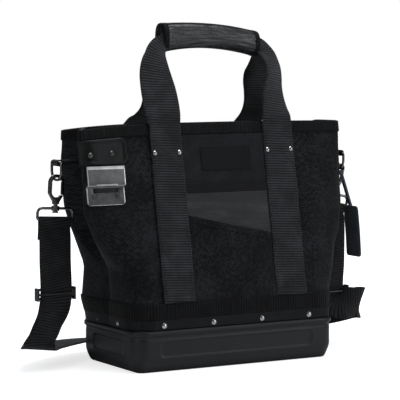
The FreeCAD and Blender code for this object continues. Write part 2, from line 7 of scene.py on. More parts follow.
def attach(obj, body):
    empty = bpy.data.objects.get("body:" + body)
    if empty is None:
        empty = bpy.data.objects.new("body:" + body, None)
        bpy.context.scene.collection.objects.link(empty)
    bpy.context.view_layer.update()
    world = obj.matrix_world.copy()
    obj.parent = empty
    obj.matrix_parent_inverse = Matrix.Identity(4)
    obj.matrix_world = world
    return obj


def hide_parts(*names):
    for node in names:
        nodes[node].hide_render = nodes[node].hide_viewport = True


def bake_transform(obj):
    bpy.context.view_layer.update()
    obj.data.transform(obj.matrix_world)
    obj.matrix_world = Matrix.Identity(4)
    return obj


# a canvas tote on a moulded tray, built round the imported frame; +Z is up and -Y is the front
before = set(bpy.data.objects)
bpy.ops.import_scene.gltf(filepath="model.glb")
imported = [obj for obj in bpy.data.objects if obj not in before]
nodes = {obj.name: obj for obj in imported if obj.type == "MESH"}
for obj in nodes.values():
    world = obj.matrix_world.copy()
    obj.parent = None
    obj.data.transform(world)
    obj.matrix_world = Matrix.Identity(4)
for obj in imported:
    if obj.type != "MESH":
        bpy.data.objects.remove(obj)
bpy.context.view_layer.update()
print("frame loaded:", len(nodes), "nodes")


# small helpers
def blendTo(a, b, t):
    return a + (b - a) * t


def smoothStep(low, high, x):
    t = min(1.0, max(0.0, (x - low) / (high - low)))
    return t * t * (3 - 2 * t)


def wobble(x, y, z, size):
    return noise.noise(Vector((x, y, z)) / size)


def curveThrough(points, steps, closed=False):
    # centripetal curve through the points, steps samples on each run
    count = len(points)
    out = []
    for i in range(count if closed else count - 1):
        p1 = points[i]
        p2 = points[(i + 1) % count]
        p0 = points[i - 1] if closed or i > 0 else p1 * 2 - p2
        p3 = points[(i + 2) % count] if closed or i + 2 < count else p2 * 2 - p1
        d1, d2, d3 = [max(1e-6, (b - a).length ** 0.5) for a, b in ((p0, p1), (p1, p2), (p2, p3))]
        m1 = (p1 - p0) / d1 - (p2 - p0) / (d1 + d2) + (p2 - p1) / d2
        m2 = (p2 - p1) / d2 - (p3 - p1) / (d2 + d3) + (p3 - p2) / d3
        for k in range(steps):
            t = k / steps
            a = 2 * t ** 3 - 3 * t ** 2 + 1
            b = -2 * t ** 3 + 3 * t ** 2
            out.append(p1 * a + p2 * b + m1 * d2 * (t ** 3 - 2 * t ** 2 + t) + m2 * d2 * (t ** 3 - t ** 2))
    if not closed:
        out.append(points[-1].copy())
    return out


def newObject(name, verts, faces, uvs=None, smooth=True):
    mesh = bpy.data.meshes.new(name)
    mesh.from_pydata([tuple(v) for v in verts], [], faces)
    if uvs is not None:
        layer = mesh.uv_layers.new(name="UVMap")
        for poly in mesh.polygons:
            for loopIndex, corner in zip(poly.loop_indices, uvs[poly.index]):
                layer.data[loopIndex].uv = corner
    mesh.update()
    obj = bpy.data.objects.new(name, mesh)
    bpy.context.scene.collection.objects.link(obj)
    for poly in mesh.polygons:
        poly.use_smooth = smooth
    return obj


def gridFaces(rows, columns, closeAcross, closeAlong=False, offset=0):
    faces = []
    for r in range(rows if closeAlong else rows - 1):
        for c in range(columns if closeAcross else columns - 1):
            a = offset + r * columns + c
            b = offset + r * columns + (c + 1) % columns
            d = offset + ((r + 1) % rows) * columns
            faces.append((a, b, d + (c + 1) % columns, d + c))
    return faces


def gridUvs(rows, columns, closeAcross, across, along, closeAlong=False):
    # across and along are running lengths in metres, so weaves keep their real pitch
    uvs = []
    for r in range(rows if closeAlong else rows - 1):
        for c in range(columns if closeAcross else columns - 1):
            u0, u1 = across[c], across[c + 1]
            v0, v1 = along[r], along[r + 1]
            uvs.append(((u0, v0), (u1, v0), (u1, v1), (u0, v1)))
    return uvs


def running(points, closed=False):
    line = points + [points[0]] if closed else points
    out = [0.0]
    for a, b in zip(line[:-1], line[1:]):
        out.append(out[-1] + (b - a).length)
    return out


def outwards(obj):
    bm = bmesh.new()
    bm.from_mesh(obj.data)
    bmesh.ops.remove_doubles(bm, verts=bm.verts, dist=1e-6)
    bmesh.ops.recalc_face_normals(bm, faces=bm.faces)
    bm.to_mesh(obj.data)
    bm.free()
    return obj


def addModifier(obj, kind, **values):
    modifier = obj.modifiers.new(kind.title(), kind)
    for key, value in values.items():
        setattr(modifier, key, value)
    return modifier


def applyModifiers(obj):
    graph = bpy.context.evaluated_depsgraph_get()
    mesh = bpy.data.meshes.new_from_object(obj.evaluated_get(graph), depsgraph=graph)
    old = obj.data
    obj.modifiers.clear()
    obj.data = mesh
    bpy.data.meshes.remove(old)
    return obj


def joinPieces(name, parts):
    bm = bmesh.new()
    for part in parts:
        bm.from_mesh(part.data)
    mesh = bpy.data.meshes.new(name)
    bm.to_mesh(mesh)
    bm.free()
    for part in parts:
        bpy.data.objects.remove(part)
    obj = bpy.data.objects.new(name, mesh)
    bpy.context.scene.collection.objects.link(obj)
    return obj


def finishPiece(obj, material, body, slot, *replaced):
    obj.data.materials.clear()
    obj.data.materials.append(material)
    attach(obj, body)
    if replaced:
        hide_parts(*replaced)
    return obj


# shader groups
def newGroup(name, inputs, outputs):
    tree = bpy.data.node_groups.new(name, "ShaderNodeTree")
    for title, kind, value in inputs:
        socket = tree.interface.new_socket(name=title, in_out="INPUT", socket_type=kind)
        if value is not None:
            socket.default_value = value
    for title, kind in outputs:
        tree.interface.new_socket(name=title, in_out="OUTPUT", socket_type=kind)
    return tree, tree.nodes.new("NodeGroupInput"), tree.nodes.new("NodeGroupOutput")


def mathNode(tree, operation, first, second=None, third=None):
    node = tree.nodes.new("ShaderNodeMath")
    node.operation = operation
    for socket, value in zip(node.inputs, (first, second, third)):
        if value is None:
            continue
        if isinstance(value, (int, float)):
            socket.default_value = value
        else:
            tree.links.new(value, socket)
    return node.outputs[0]


def makeRibs():
    # rows of ribs across a tape or a strap, with the fine yarns that wrap each rib
    tree, start, end = newGroup("ribbedTape",
                                [("Vector", "NodeSocketVector", None), ("Pitch", "NodeSocketFloat", 0.0036),
                                 ("Slant", "NodeSocketFloat", 0.0), ("Yarn", "NodeSocketFloat", 0.0011)],
                                [("Height", "NodeSocketFloat"), ("Valley", "NodeSocketFloat")])
    split = tree.nodes.new("ShaderNodeSeparateXYZ")
    tree.links.new(start.outputs["Vector"], split.inputs[0])
    leaned = mathNode(tree, "MULTIPLY_ADD", split.outputs["X"], start.outputs["Slant"], split.outputs["Y"])
    turns = mathNode(tree, "DIVIDE", leaned, start.outputs["Pitch"])
    wave = mathNode(tree, "SINE", mathNode(tree, "MULTIPLY", turns, math.tau))
    round01 = mathNode(tree, "MULTIPLY_ADD", wave, 0.5, 0.5)
    rib = mathNode(tree, "POWER", round01, 0.55)
    yarnTurns = mathNode(tree, "DIVIDE", split.outputs["X"], start.outputs["Yarn"])
    shifted = mathNode(tree, "ADD", yarnTurns,
                       mathNode(tree, "MULTIPLY", mathNode(tree, "FLOOR", turns), 0.5))
    yarn = mathNode(tree, "ABSOLUTE", mathNode(tree, "SINE", mathNode(tree, "MULTIPLY", shifted, math.pi)))
    height = mathNode(tree, "MULTIPLY_ADD", yarn, 0.28, mathNode(tree, "MULTIPLY", rib, 0.72))
    tree.links.new(height, end.inputs["Height"])
    tree.links.new(mathNode(tree, "SUBTRACT", 1.0, rib), end.inputs["Valley"])
    return tree


def makeWeave():
    # plain over-and-under weave with slubs
    tree, start, end = newGroup("plainWeave",
                                [("Vector", "NodeSocketVector", None), ("Pitch", "NodeSocketFloat", 0.0014),
                                 ("Slub", "NodeSocketFloat", 0.35)],
                                [("Height", "NodeSocketFloat"), ("Fleck", "NodeSocketFloat")])
    scaled = tree.nodes.new("ShaderNodeVectorMath")
    scaled.operation = "DIVIDE"
    tree.links.new(start.outputs["Vector"], scaled.inputs[0])
    pitch = tree.nodes.new("ShaderNodeCombineXYZ")
    for axis in range(3):
        tree.links.new(start.outputs["Pitch"], pitch.inputs[axis])
    tree.links.new(pitch.outputs[0], scaled.inputs[1])
    split = tree.nodes.new("ShaderNodeSeparateXYZ")
    tree.links.new(scaled.outputs[0], split.inputs[0])
    across = mathNode(tree, "SINE", mathNode(tree, "MULTIPLY", split.outputs["X"], math.pi))
    along = mathNode(tree, "SINE", mathNode(tree, "MULTIPLY", split.outputs["Y"], math.pi))
    knots = mathNode(tree, "MULTIPLY_ADD", mathNode(tree, "MULTIPLY", across, along), 0.5, 0.5)
    fleck = tree.nodes.new("ShaderNodeTexNoise")
    fleck.inputs["Scale"].default_value = 0.45
    fleck.inputs["Detail"].default_value = 3.0
    fleck.inputs["Roughness"].default_value = 0.7
    tree.links.new(scaled.outputs[0], fleck.inputs["Vector"])
    height = mathNode(tree, "MULTIPLY_ADD", fleck.outputs["Fac"], start.outputs["Slub"], knots)
    tree.links.new(height, end.inputs["Height"])
    tree.links.new(fleck.outputs["Fac"], end.inputs["Fleck"])
    return tree


def makeGrain():
    # pebbled skin: cells with creases between them, over a slower roll
    tree, start, end = newGroup("pebbleGrain",
                                [("Vector", "NodeSocketVector", None), ("Cell", "NodeSocketFloat", 0.0016),
                                 ("Roll", "NodeSocketFloat", 0.4)],
                                [("Height", "NodeSocketFloat"), ("Crease", "NodeSocketFloat")])
    size = mathNode(tree, "DIVIDE", 1.0, start.outputs["Cell"])
    cells = tree.nodes.new("ShaderNodeTexVoronoi")
    cells.feature = "DISTANCE_TO_EDGE"
    tree.links.new(start.outputs["Vector"], cells.inputs["Vector"])
    tree.links.new(size, cells.inputs["Scale"])
    crease = mathNode(tree, "MINIMUM", mathNode(tree, "MULTIPLY", cells.outputs["Distance"], 4.0), 1.0)
    roll = tree.nodes.new("ShaderNodeTexNoise")
    roll.inputs["Detail"].default_value = 4.0
    tree.links.new(start.outputs["Vector"], roll.inputs["Vector"])
    tree.links.new(mathNode(tree, "MULTIPLY", size, 0.12), roll.inputs["Scale"])
    height = mathNode(tree, "MULTIPLY_ADD", roll.outputs["Fac"], start.outputs["Roll"], crease)
    tree.links.new(height, end.inputs["Height"])
    tree.links.new(mathNode(tree, "SUBTRACT", 1.0, crease), end.inputs["Crease"])
    return tree


def makeDustAndShade():
    # slow patches of handling and dust, lighter where the mask is high; the Detail input adds the painted
    # shade of weave gaps, rib valleys and grain creases
    tree, start, end = newGroup("dustAndShadePatches",
                                [("Vector", "NodeSocketVector", None), ("Size", "NodeSocketFloat", 0.05),
                                 ("Dark", "NodeSocketColor", (0, 0, 0, 1)),
                                 ("Light", "NodeSocketColor", (1, 1, 1, 1)),
                                 ("Detail", "NodeSocketFloat", 0.0)],
                                [("Color", "NodeSocketColor"), ("Mask", "NodeSocketFloat")])
    patches = tree.nodes.new("ShaderNodeTexNoise")
    patches.inputs["Detail"].default_value = 6.0
    patches.inputs["Roughness"].default_value = 0.62
    tree.links.new(start.outputs["Vector"], patches.inputs["Vector"])
    tree.links.new(mathNode(tree, "DIVIDE", 1.0, start.outputs["Size"]), patches.inputs["Scale"])
    mask = mathNode(tree, "SUBTRACT", patches.outputs["Fac"], 0.35)
    mask = mathNode(tree, "MULTIPLY", mask, 2.2)
    mask = mathNode(tree, "ADD", mask, start.outputs["Detail"])
    mask = mathNode(tree, "MINIMUM", mathNode(tree, "MAXIMUM", mask, 0.0), 1.0)
    mix = tree.nodes.new("ShaderNodeMix")
    mix.data_type = "RGBA"
    tree.links.new(mask, mix.inputs["Factor"])
    tree.links.new(start.outputs["Dark"], mix.inputs[6])
    tree.links.new(start.outputs["Light"], mix.inputs[7])
    tree.links.new(mix.outputs[2], end.inputs["Color"])
    tree.links.new(mask, end.inputs["Mask"])
    return tree


ribs = makeRibs()
weave = makeWeave()
grain = makeGrain()
dustAndShade = makeDustAndShade()


# materials
def startMaterial(name, shader):
    material = bpy.data.materials.new(name)
    material.use_nodes = True
    tree = material.node_tree
    tree.nodes.clear()
    output = tree.nodes.new("ShaderNodeOutputMaterial")
    principled = tree.nodes.new("ShaderNodeBsdfPrincipled")
    tree.links.new(principled.outputs[0], output.inputs["Surface"])
    for key, value in shader.items():
        principled.inputs[key].default_value = value
    coords = tree.nodes.new("ShaderNodeTexCoord")
    return material, tree, principled, coords


def placeGroup(tree, group, vector, **values):
    node = tree.nodes.new("ShaderNodeGroup")
    node.node_tree = group
    if vector is not None:
        tree.links.new(vector, node.inputs["Vector"])
    for key, value in values.items():
        node.inputs[key].default_value = value
    return node


def addBump(tree, principled, height, strength, distance):
    bump = tree.nodes.new("ShaderNodeBump")
    bump.inputs["Strength"].default_value = strength
    bump.inputs["Distance"].default_value = distance
    tree.links.new(height, bump.inputs["Height"])
    tree.links.new(bump.outputs["Normal"], principled.inputs["Normal"])


def roughnessFrom(tree, principled, value, low, high):
    ranged = tree.nodes.new("ShaderNodeMapRange")
    ranged.inputs["To Min"].default_value = low
    ranged.inputs["To Max"].default_value = high
    tree.links.new(value, ranged.inputs["Value"])
    tree.links.new(ranged.outputs[0], principled.inputs["Roughness"])


def grey(value, blue=0.0):
    return (value, value * (1 + blue * 0.3), value * (1 + blue), 1)


def clothMaterial(name, dark, light, pitch=0.0014, bump=0.5, blue=0.26, specular=0.18, sheen=0.05, slub=0.35,
                  contrast=3.0):
    material, tree, principled, coords = startMaterial(name,
                                                       {"Specular IOR Level": specular, "Sheen Weight": sheen,
                                                              "Sheen Roughness": 0.45})
    threads = placeGroup(tree, weave, coords.outputs["UV"], Pitch=pitch, Slub=slub)
    patches = placeGroup(tree, dustAndShade, coords.outputs["Object"], Size=0.045, Dark=grey(dark, blue),
                         Light=grey(light, blue))
    # the flecks are the yarn's own tone; the knots term lightens the raised threads and darkens the gaps
    # between them, painted shade
    fleck = mathNode(tree, "MULTIPLY_ADD", threads.outputs["Fleck"], contrast, -contrast * 0.5)
    knots = mathNode(tree, "MULTIPLY_ADD", threads.outputs["Height"], 0.5, -0.35)
    tree.links.new(mathNode(tree, "ADD", fleck, knots), patches.inputs["Detail"])
    tree.links.new(patches.outputs["Color"], principled.inputs["Base Color"])
    roughnessFrom(tree, principled, threads.outputs["Height"], 0.92, 0.7)
    addBump(tree, principled, threads.outputs["Height"], bump, pitch * 0.35)
    return material


def tapeMaterial(name, dark, light, pitch=0.0036, slant=0.0, bump=0.8, blue=0.24, specular=0.3, sheen=0.1,
                 yarn=0.0011):
    material, tree, principled, coords = startMaterial(name,
                                                       {"Specular IOR Level": specular, "Sheen Weight": sheen,
                                                              "Sheen Roughness": 0.4})
    rows = placeGroup(tree, ribs, coords.outputs["UV"], Pitch=pitch, Slant=slant, Yarn=yarn)
    patches = placeGroup(tree, dustAndShade, coords.outputs["Object"], Size=0.03, Dark=grey(dark, blue),
                         Light=grey(light, blue))
    # the valleys between the ribs are darkened: painted shade between the ribs
    tree.links.new(mathNode(tree, "MULTIPLY_ADD", rows.outputs["Valley"], -1.0, 0.3),
                   patches.inputs["Detail"])
    tree.links.new(patches.outputs["Color"], principled.inputs["Base Color"])
    roughnessFrom(tree, principled, rows.outputs["Height"], 0.85, 0.55)
    addBump(tree, principled, rows.outputs["Height"], bump, pitch * 0.25)
    return material


def skinMaterial(name, dark, light, cell=0.0016, bump=0.35, blue=0.24, specular=0.4, rough=(0.38, 0.6),
                 roll=0.5,
                 stretch=(1, 1, 1), coat=0.06):
    material, tree, principled, coords = startMaterial(name,
                                                       {"Specular IOR Level": specular, "Coat Weight": coat,
                                                              "Coat Roughness": 0.35})
    # stretch draws the patches out into streaks; on the grip their lighter streaks are partly painted
    # highlight
    streakMapping = tree.nodes.new("ShaderNodeMapping")
    streakMapping.inputs["Scale"].default_value = stretch
    tree.links.new(coords.outputs["Object"], streakMapping.inputs["Vector"])
    pebbles = placeGroup(tree, grain, coords.outputs["Object"], Cell=cell, Roll=roll)
    patches = placeGroup(tree, dustAndShade, streakMapping.outputs[0], Size=0.022, Dark=grey(dark, blue),
                         Light=grey(light, blue))
    # the grain's creases are darkened: painted shade in the creases
    tree.links.new(mathNode(tree, "MULTIPLY", pebbles.outputs["Crease"], -0.5), patches.inputs["Detail"])
    tree.links.new(patches.outputs["Color"], principled.inputs["Base Color"])
    roughnessFrom(tree, principled, patches.outputs["Mask"], rough[1], rough[0])
    addBump(tree, principled, pebbles.outputs["Height"], bump, cell * 0.22)
    return material


def metalMaterial(name, dark, light, rough=(0.16, 0.34), bump=0.05, brushed=False, blue=0.0):
    material, tree, principled, coords = startMaterial(name, {"Metallic": 1.0})
    mapping = tree.nodes.new("ShaderNodeMapping")
    mapping.inputs["Scale"].default_value = (6, 90, 420) if brushed else (60, 60, 60)
    tree.links.new(coords.outputs["Object"], mapping.inputs["Vector"])
    lines = tree.nodes.new("ShaderNodeTexNoise")
    lines.inputs["Scale"].default_value = 6.0
    lines.inputs["Detail"].default_value = 5.0
    tree.links.new(mapping.outputs[0], lines.inputs["Vector"])
    patches = placeGroup(tree, dustAndShade, coords.outputs["Object"], Size=0.012, Dark=grey(dark, blue),
                         Light=grey(light, blue))
    tree.links.new(patches.outputs["Color"], principled.inputs["Base Color"])
    roughnessFrom(tree, principled, lines.outputs["Fac"], rough[0], rough[1])
    addBump(tree, principled, lines.outputs["Fac"], bump, 0.0004)
    return material


def mouldedMaterial(name, dark, light):
    material, tree, principled, coords = startMaterial(name, {"Specular IOR Level": 0.36, "Coat Weight": 0.03,
                                                              "Coat Roughness": 0.4})
    stipple = tree.nodes.new("ShaderNodeTexNoise")
    stipple.inputs["Scale"].default_value = 900.0
    stipple.inputs["Detail"].default_value = 3.0
    tree.links.new(coords.outputs["Object"], stipple.inputs["Vector"])
    patches = placeGroup(tree, dustAndShade, coords.outputs["Object"], Size=0.07, Dark=grey(dark, 0.26),
                         Light=grey(light, 0.26))
    tree.links.new(patches.outputs["Color"], principled.inputs["Base Color"])
    roughnessFrom(tree, principled, patches.outputs["Mask"], 0.4, 0.54)
    addBump(tree, principled, stipple.outputs["Fac"], 0.25, 0.0004)
    return material


canvas = clothMaterial("canvasWeave", 0.0014, 0.0205, pitch=0.0022, bump=0.8)
facingCloth = clothMaterial("facingTwill", 0.006, 0.022, pitch=0.0011, bump=0.4, contrast=2.0)
liningCloth = clothMaterial("liningWeave", 0.004, 0.010, pitch=0.0012, bump=0.3)
grosgrain = tapeMaterial("grosgrainTape", 0.0015, 0.0085, pitch=0.0042, bump=0.9, specular=0.16, sheen=0.04)
webbing = tapeMaterial("strapWebbing", 0.003, 0.040, pitch=0.0037, slant=0.12, bump=0.9, specular=0.26,
                       sheen=0.2)
slingWebbing = tapeMaterial("slingWebbing", 0.003, 0.025, pitch=0.0039, slant=0.14, bump=0.9, specular=0.2)
bindingTape = tapeMaterial("bindingTape", 0.002, 0.007, pitch=0.0022, bump=0.5, specular=0.2, sheen=0.04)
threadYarn = clothMaterial("sewingThread", 0.008, 0.016, pitch=0.0006, bump=0.4)
softLeather = skinMaterial("softLeather", 0.003, 0.034, specular=0.40, rough=(0.34, 0.58),
                           stretch=(0.35, 1, 1.5))
# the grip's light colour and lengthwise streaks are partly the leather's own tone and partly painted
# highlight along the grip
gripLeather = skinMaterial("gripLeather", 0.006, 0.060, bump=0.25, specular=0.55, rough=(0.24, 0.42),
                           stretch=(0.12, 1.4, 1.4), coat=0.25)
flapLeather = skinMaterial("flapRubber", 0.0025, 0.006, cell=0.0011, rough=(0.3, 0.44), specular=0.24)
hemSkin = skinMaterial("hemCoating", 0.003, 0.009, cell=0.0008, bump=0.2, rough=(0.5, 0.66), specular=0.2)
# the tag's grey is partly its own dark grey and partly painted light, raised to make up for the bag's shade
# on its seen face
tagSkin = skinMaterial("tagLeather", 0.08, 0.13, cell=0.0013)
navyPaint = skinMaterial("navyEdgePaint", 0.008, 0.014, cell=0.002, bump=0.1, blue=4.2, rough=(0.3, 0.45))
nickel = metalMaterial("polishedNickel", 0.42, 0.72)
clipSteel = metalMaterial("brushedSteel", 0.10, 0.16, rough=(0.32, 0.5), bump=0.3, brushed=True)
# darker steel for the plate's foot below the step
footSteel = metalMaterial("darkFootSteel", 0.06, 0.11, rough=(0.34, 0.5), bump=0.3, brushed=True)
# light metal for the plate's edges: a painted highlight
edgeSteel = metalMaterial("highlightSteelEdge", 0.5, 0.75, rough=(0.3, 0.45))
dullRivet = metalMaterial("dullRivet", 0.07, 0.16, rough=(0.3, 0.45))
gunmetal = metalMaterial("darkPlating", 0.12, 0.26, rough=(0.14, 0.3))
blackWire = metalMaterial("blackWire", 0.03, 0.06, rough=(0.25, 0.4))
moulded = mouldedMaterial("mouldedTray", 0.006, 0.012)
labelSatin = clothMaterial("labelSatin", 0.0035, 0.0075, pitch=0.0006, bump=0.2, specular=0.2)
print("materials made")


# the bag's skin; places are in millimetres until they reach a mesh
mm = 0.001
hemDepth = 85.0  # half the depth of the body below the band's top edge
slopeStart, slopeDepth = 98.0, 84.0  # where the front and back start to lean in, and half the depth there
rimHeight, rimDepth = 350.0, 38.0
slopeRate = (slopeDepth - rimDepth) / (rimHeight - slopeStart)
slopeAngle = math.atan(slopeRate)
# by height: half the straight side, front corner and back corner (each a corner, its end and the fold's
# edge), crease, front drift and back drift
bodySections = {
    60: (137, [(156.2, 76.2), (165, 55), (165, 10)], [(160.5, 78.6), (167, 62), (165, 10)], 164, 0, 0),
    98: (137, [(156.6, 75.4), (165.5, 54), (165.5, 10)], [(164.5, 79.5), (175, 65), (170, 11)], 164, 0, 0),
    137: (137, [(157, 68), (167, 47), (170, 9)], [(162, 70), (176, 57), (172, 12)], 164, 0, 0),
    165: (141, [(172, 64), (190, 50), (190, 26)], [(172, 64), (188, 51), (185, 24)], 166, -1, 0),
    190: (150, [(183, 60.3), (202, 48.5), (206, 36.5)], [(181, 60), (196, 49), (199, 37)], 174, -3, 0),
    235: (170, [(194, 57.5), (208, 55), (215, 48.5)], [(194, 57.5), (206, 55), (210, 49)], 186, -15, 0),
    290: (180, [(200, 48.3), (211, 47), (215, 42.5)], [(200, 48.3), (211, 47), (215, 42.5)], 194, -14, -3),
    350: (186, [(204, 37.7), (212, 36.8), (216, 33)], [(204, 37.7), (212, 36.8), (216, 33)], 199, -12, -5),
}
# the front corner on the tag side, where the cloth stands out instead of pinching
rightCorners = {
    60: [(160, 78), (165.6, 61), (165, 10)],
    98: [(161, 75.5), (174, 57), (171, 12)],
    137: [(170, 70), (187, 50), (193, 18)],
    165: [(176, 66), (192, 49), (199, 28)],
}
bagShape = {"low": 60.5, "high": 349.4, "wall": 3.4, "rowStep": 4.0, "cornerSteps": 7, "dent": 2.08,
            "dentSize": 70.0, "leftDroop": 7.0, "rightDroop": 2.0, "backDroop": 3.2, "gussetWave": 2.2,
            "gussetSize": 45.0}


def sideDepth(z):
    return hemDepth if z < slopeStart - 0.01 else slopeDepth - (z - slopeStart) * slopeRate


def sectionLine(z):
    straight, frontCorner, backCorner, crease, frontDrift, backDrift = bodySections[z]
    depth = sideDepth(z)
    shares = (0.97, 0.9, 0.65, 0.35, 0.0, -0.35, -0.65, -0.9, -0.97)
    frontHalf = [(straight, depth)] + frontCorner
    rightHalf = [(straight, depth)] + rightCorners.get(z, frontCorner)
    backHalf = [(straight, depth)] + backCorner
    front = [(-straight * s, -depth) for s in shares]
    right = [(x, -y) for x, y in rightHalf] + [(crease, 0)] + [(x, y) for x, y in reversed(backHalf)]
    back = [(straight * s, depth) for s in shares]
    left = [(-x, y) for x, y in backHalf] + [(-crease, 0)] + [(-x, -y) for x, y in reversed(frontHalf)]
    points = []
    for x, y in front + right + back + left:
        drift = (frontDrift * (depth - y) + backDrift * (depth + y)) / (2 * depth)
        points.append(Vector((x + drift, y / depth, 0)) * mm)
    for point in points:
        point.y *= hemDepth
    line = curveThrough(points, bagShape["cornerSteps"], closed=True)
    return [(p.x, p.y / (hemDepth * mm)) for p in line]


sectionHeights = sorted(bodySections)
sectionLines = [sectionLine(z) for z in sectionHeights]
skinColumns = len(sectionLines[0])


def through(values, z):
    # smooth line through values at the section heights
    heights = sectionHeights
    k = max(0, min(len(heights) - 2, sum(1 for h in heights if h <= z) - 1))
    span = heights[k + 1] - heights[k]
    t = (z - heights[k]) / span

    def slopeAt(j):
        if j == 0:
            return 0.0
        if j == len(heights) - 1:
            return (values[j] - values[j - 1]) / (heights[j] - heights[j - 1])
        one = (values[j] - values[j - 1]) / (heights[j] - heights[j - 1])
        two = (values[j + 1] - values[j]) / (heights[j + 1] - heights[j])
        return 0.0 if one * two <= 0 else 2 * one * two / (one + two)
    a, b = values[k], values[k + 1]
    m0, m1 = slopeAt(k) * span, slopeAt(k + 1) * span
    return (a * (2 * t ** 3 - 3 * t ** 2 + 1) + m0 * (t ** 3 - 2 * t ** 2 + t)
            + b * (-2 * t ** 3 + 3 * t ** 2) + m1 * (t ** 3 - t ** 2))


def droop(x, z, y=0.0):
    # how far the open rim has settled at its two ends and along the back
    low = smoothStep(296, 350, z)
    back = bagShape["backDroop"] * smoothStep(-10, 34, y) * low
    if x < -90:
        return -bagShape["leftDroop"] * min(1.6, ((-90 - x) / 135) ** 2) * low - back
    return -bagShape["rightDroop"] * min(1.3, (max(0.0, x - 60) / 140) ** 2) * low - back


def dent(x, z, side):
    # soft hollows in the panels, fading out by the rivets, the clip and the sewn foot
    if z < 98:
        return 0.0
    fade = smoothStep(98, 130, z) * (1 - 0.6 * smoothStep(270, 345, z))
    for centre in (-96, 92):
        reach = math.hypot((x - centre) / 45, (z - 308) / 30)
        fade *= smoothStep(0.6, 1.3, reach)
    if side < 0 and x < -135 and z > 225:
        fade *= 1 - smoothStep(-135, -165, x)
    return bagShape["dent"] * fade * wobble(x, 40 * side, z, bagShape["dentSize"])


def skinBase(i, z):
    i = i % skinColumns
    x = through([line[i][0] for line in sectionLines], z) / mm
    share = through([line[i][1] for line in sectionLines], z)
    return x, share * sideDepth(z)


skinCache = {}


def skin(i, z, off=0.0):
    # a point of the body's outside at column i and height z, moved out by off, in metres
    key = (i % skinColumns, round(z, 3))
    if key not in skinCache:
        x, y = skinBase(i, z)
        x0, y0 = skinBase(i - 1, z)
        x1, y1 = skinBase(i + 1, z)
        above = min(sectionHeights[-1], z + 2)
        below = max(sectionHeights[0], z - 2)
        xu, yu = skinBase(i, above)
        xd, yd = skinBase(i, below)
        along = Vector((x1 - x0, y1 - y0, 0))
        up = Vector((xu - xd, yu - yd, above - below))
        out = along.cross(up).normalized()
        frontness = smoothStep(0.55, 0.95, abs(out.y))
        push = dent(x, z, -1 if out.y < 0 else 1) * frontness
        wave = bagShape["gussetWave"] * smoothStep(100, 160, z) * wobble(x * 0.4, y, z,
                                                                         bagShape["gussetSize"])
        push += (1 - frontness) * wave
        skinCache[key] = (Vector((x, y, z + droop(x, z, y))) + out * push, out)
    place, out = skinCache[key]
    return (place + out * off) * mm


def panel(x, z, off=0.0, side=-1):
    # a point on the sloping front (-1) or back (1) panel
    out = Vector((0, side * math.cos(slopeAngle), math.sin(slopeAngle)))
    depth = slopeDepth - (z - slopeStart) * slopeRate
    place = Vector((x, side * depth, z + droop(x, z, 40 * side)))
    return (place + out * (off + dent(x, z, side))) * mm


def rowHeights(low, high, step):
    count = max(2, int(math.ceil((high - low) / step)) + 1)
    return [low + (high - low) * k / (count - 1) for k in range(count)]


def makeBody():
    heights = rowHeights(bagShape["low"], bagShape["high"], bagShape["rowStep"])
    wall = bagShape["wall"]
    rows = [[skin(i, z) for i in range(skinColumns)] for z in heights]
    rows.append([skin(i, heights[-1], -wall / 2) + Vector((0, 0, wall * 0.3 * mm))
                 for i in range(skinColumns)])
    rows += [[skin(i, z, -wall) for i in range(skinColumns)] for z in reversed(heights)]
    across = running(rows[20], closed=True)
    along = running([row[0] for row in rows])
    verts = [v for row in rows for v in row]
    faces = gridFaces(len(rows), skinColumns, True, closeAlong=True)
    uvs = gridUvs(len(rows), skinColumns, True, across, along + [along[-1] + wall * mm], closeAlong=True)
    body = newObject("bag_body", verts, faces, uvs)
    finishPiece(body, canvas, "bag", "canvas", "tote_shell")
    body.data.materials.append(liningCloth)
    inner = (len(heights) + 1) * skinColumns
    for poly in body.data.polygons:
        if min(poly.vertices) >= inner - skinColumns and max(poly.vertices) >= inner:
            poly.material_index = 1
    return body


def bandAround(name, material, slot, node, profile):
    # a tape round the body: profile is a closed loop of (height, off)
    rows = [[skin(i, z, off) for z, off in profile] for i in range(skinColumns)]
    along = running([row[0] for row in rows], closed=True)
    across = running([Vector((0, z, off)) * mm for z, off in profile], closed=True)
    verts = [v for row in rows for v in row]
    faces = gridFaces(len(rows), len(profile), True, closeAlong=True)
    uvs = gridUvs(len(rows), len(profile), True, across, along, closeAlong=True)
    piece = outwards(newObject(name, verts, faces, uvs))
    return finishPiece(piece, material, "bag", slot, node)


def tapeProfile(low, high, inside, outside, steps=6, round_=0.5):
    # flat tape with soft edges
    out = [(low, inside), (low - 0.05, inside + (outside - inside) * 0.5),
           (low + round_ * 0.4, outside - 0.12),
           (low + round_, outside)]
    out += [(low + round_ + (high - low - 2 * round_) * k / steps, outside) for k in range(1, steps)]
    out += [(high - round_, outside), (high - round_ * 0.4, outside - 0.12),
            (high + 0.05, inside + (outside - inside) * 0.5),
            (high, inside)]
    return out


# lower edge, upper edge, inner face and outer face of each tape
trimShape = {"hem": (60.3, 75, 0.05, 1.2), "band": (74.2, 97.5, 0.05, 1.5)}


def makeTrims():
    bandAround("hem_strip_skin", hemSkin, "hem", "hem_strip", tapeProfile(*trimShape["hem"]))
    bandAround("lower_band_tape", grosgrain, "grosgrain", "lower_band", tapeProfile(*trimShape["band"]))
    # the rim's binding folds over the top edge of the cloth
    wall = bagShape["wall"]
    outer = [(333, 0.1), (333.1, 1.0), (334, 1.5), (337, 1.6),
             (341, 1.6), (345, 1.6), (348.6, 1.5), (350, 0.9)]
    inner = [(350, -0.8 - wall / 2), (349.4, -wall - 1.0), (345, -wall - 1.3),
             (338, -wall - 1.3), (333, -wall - 0.2)]
    bandAround("top_binding_tape", grosgrain, "grosgrain", "top_binding",
               outer + inner + [(336, -wall * 0.5)])


trayShape = {"length": 333.0, "depth": 172.0, "corner": 20.0, "panelLow": 22.0, "panelHigh": 43.0,
             "panelMargin": 40.0, "panelCorner": 6.0, "panelDeep": 1.2, "sag": 0.5, "step": 3.0}
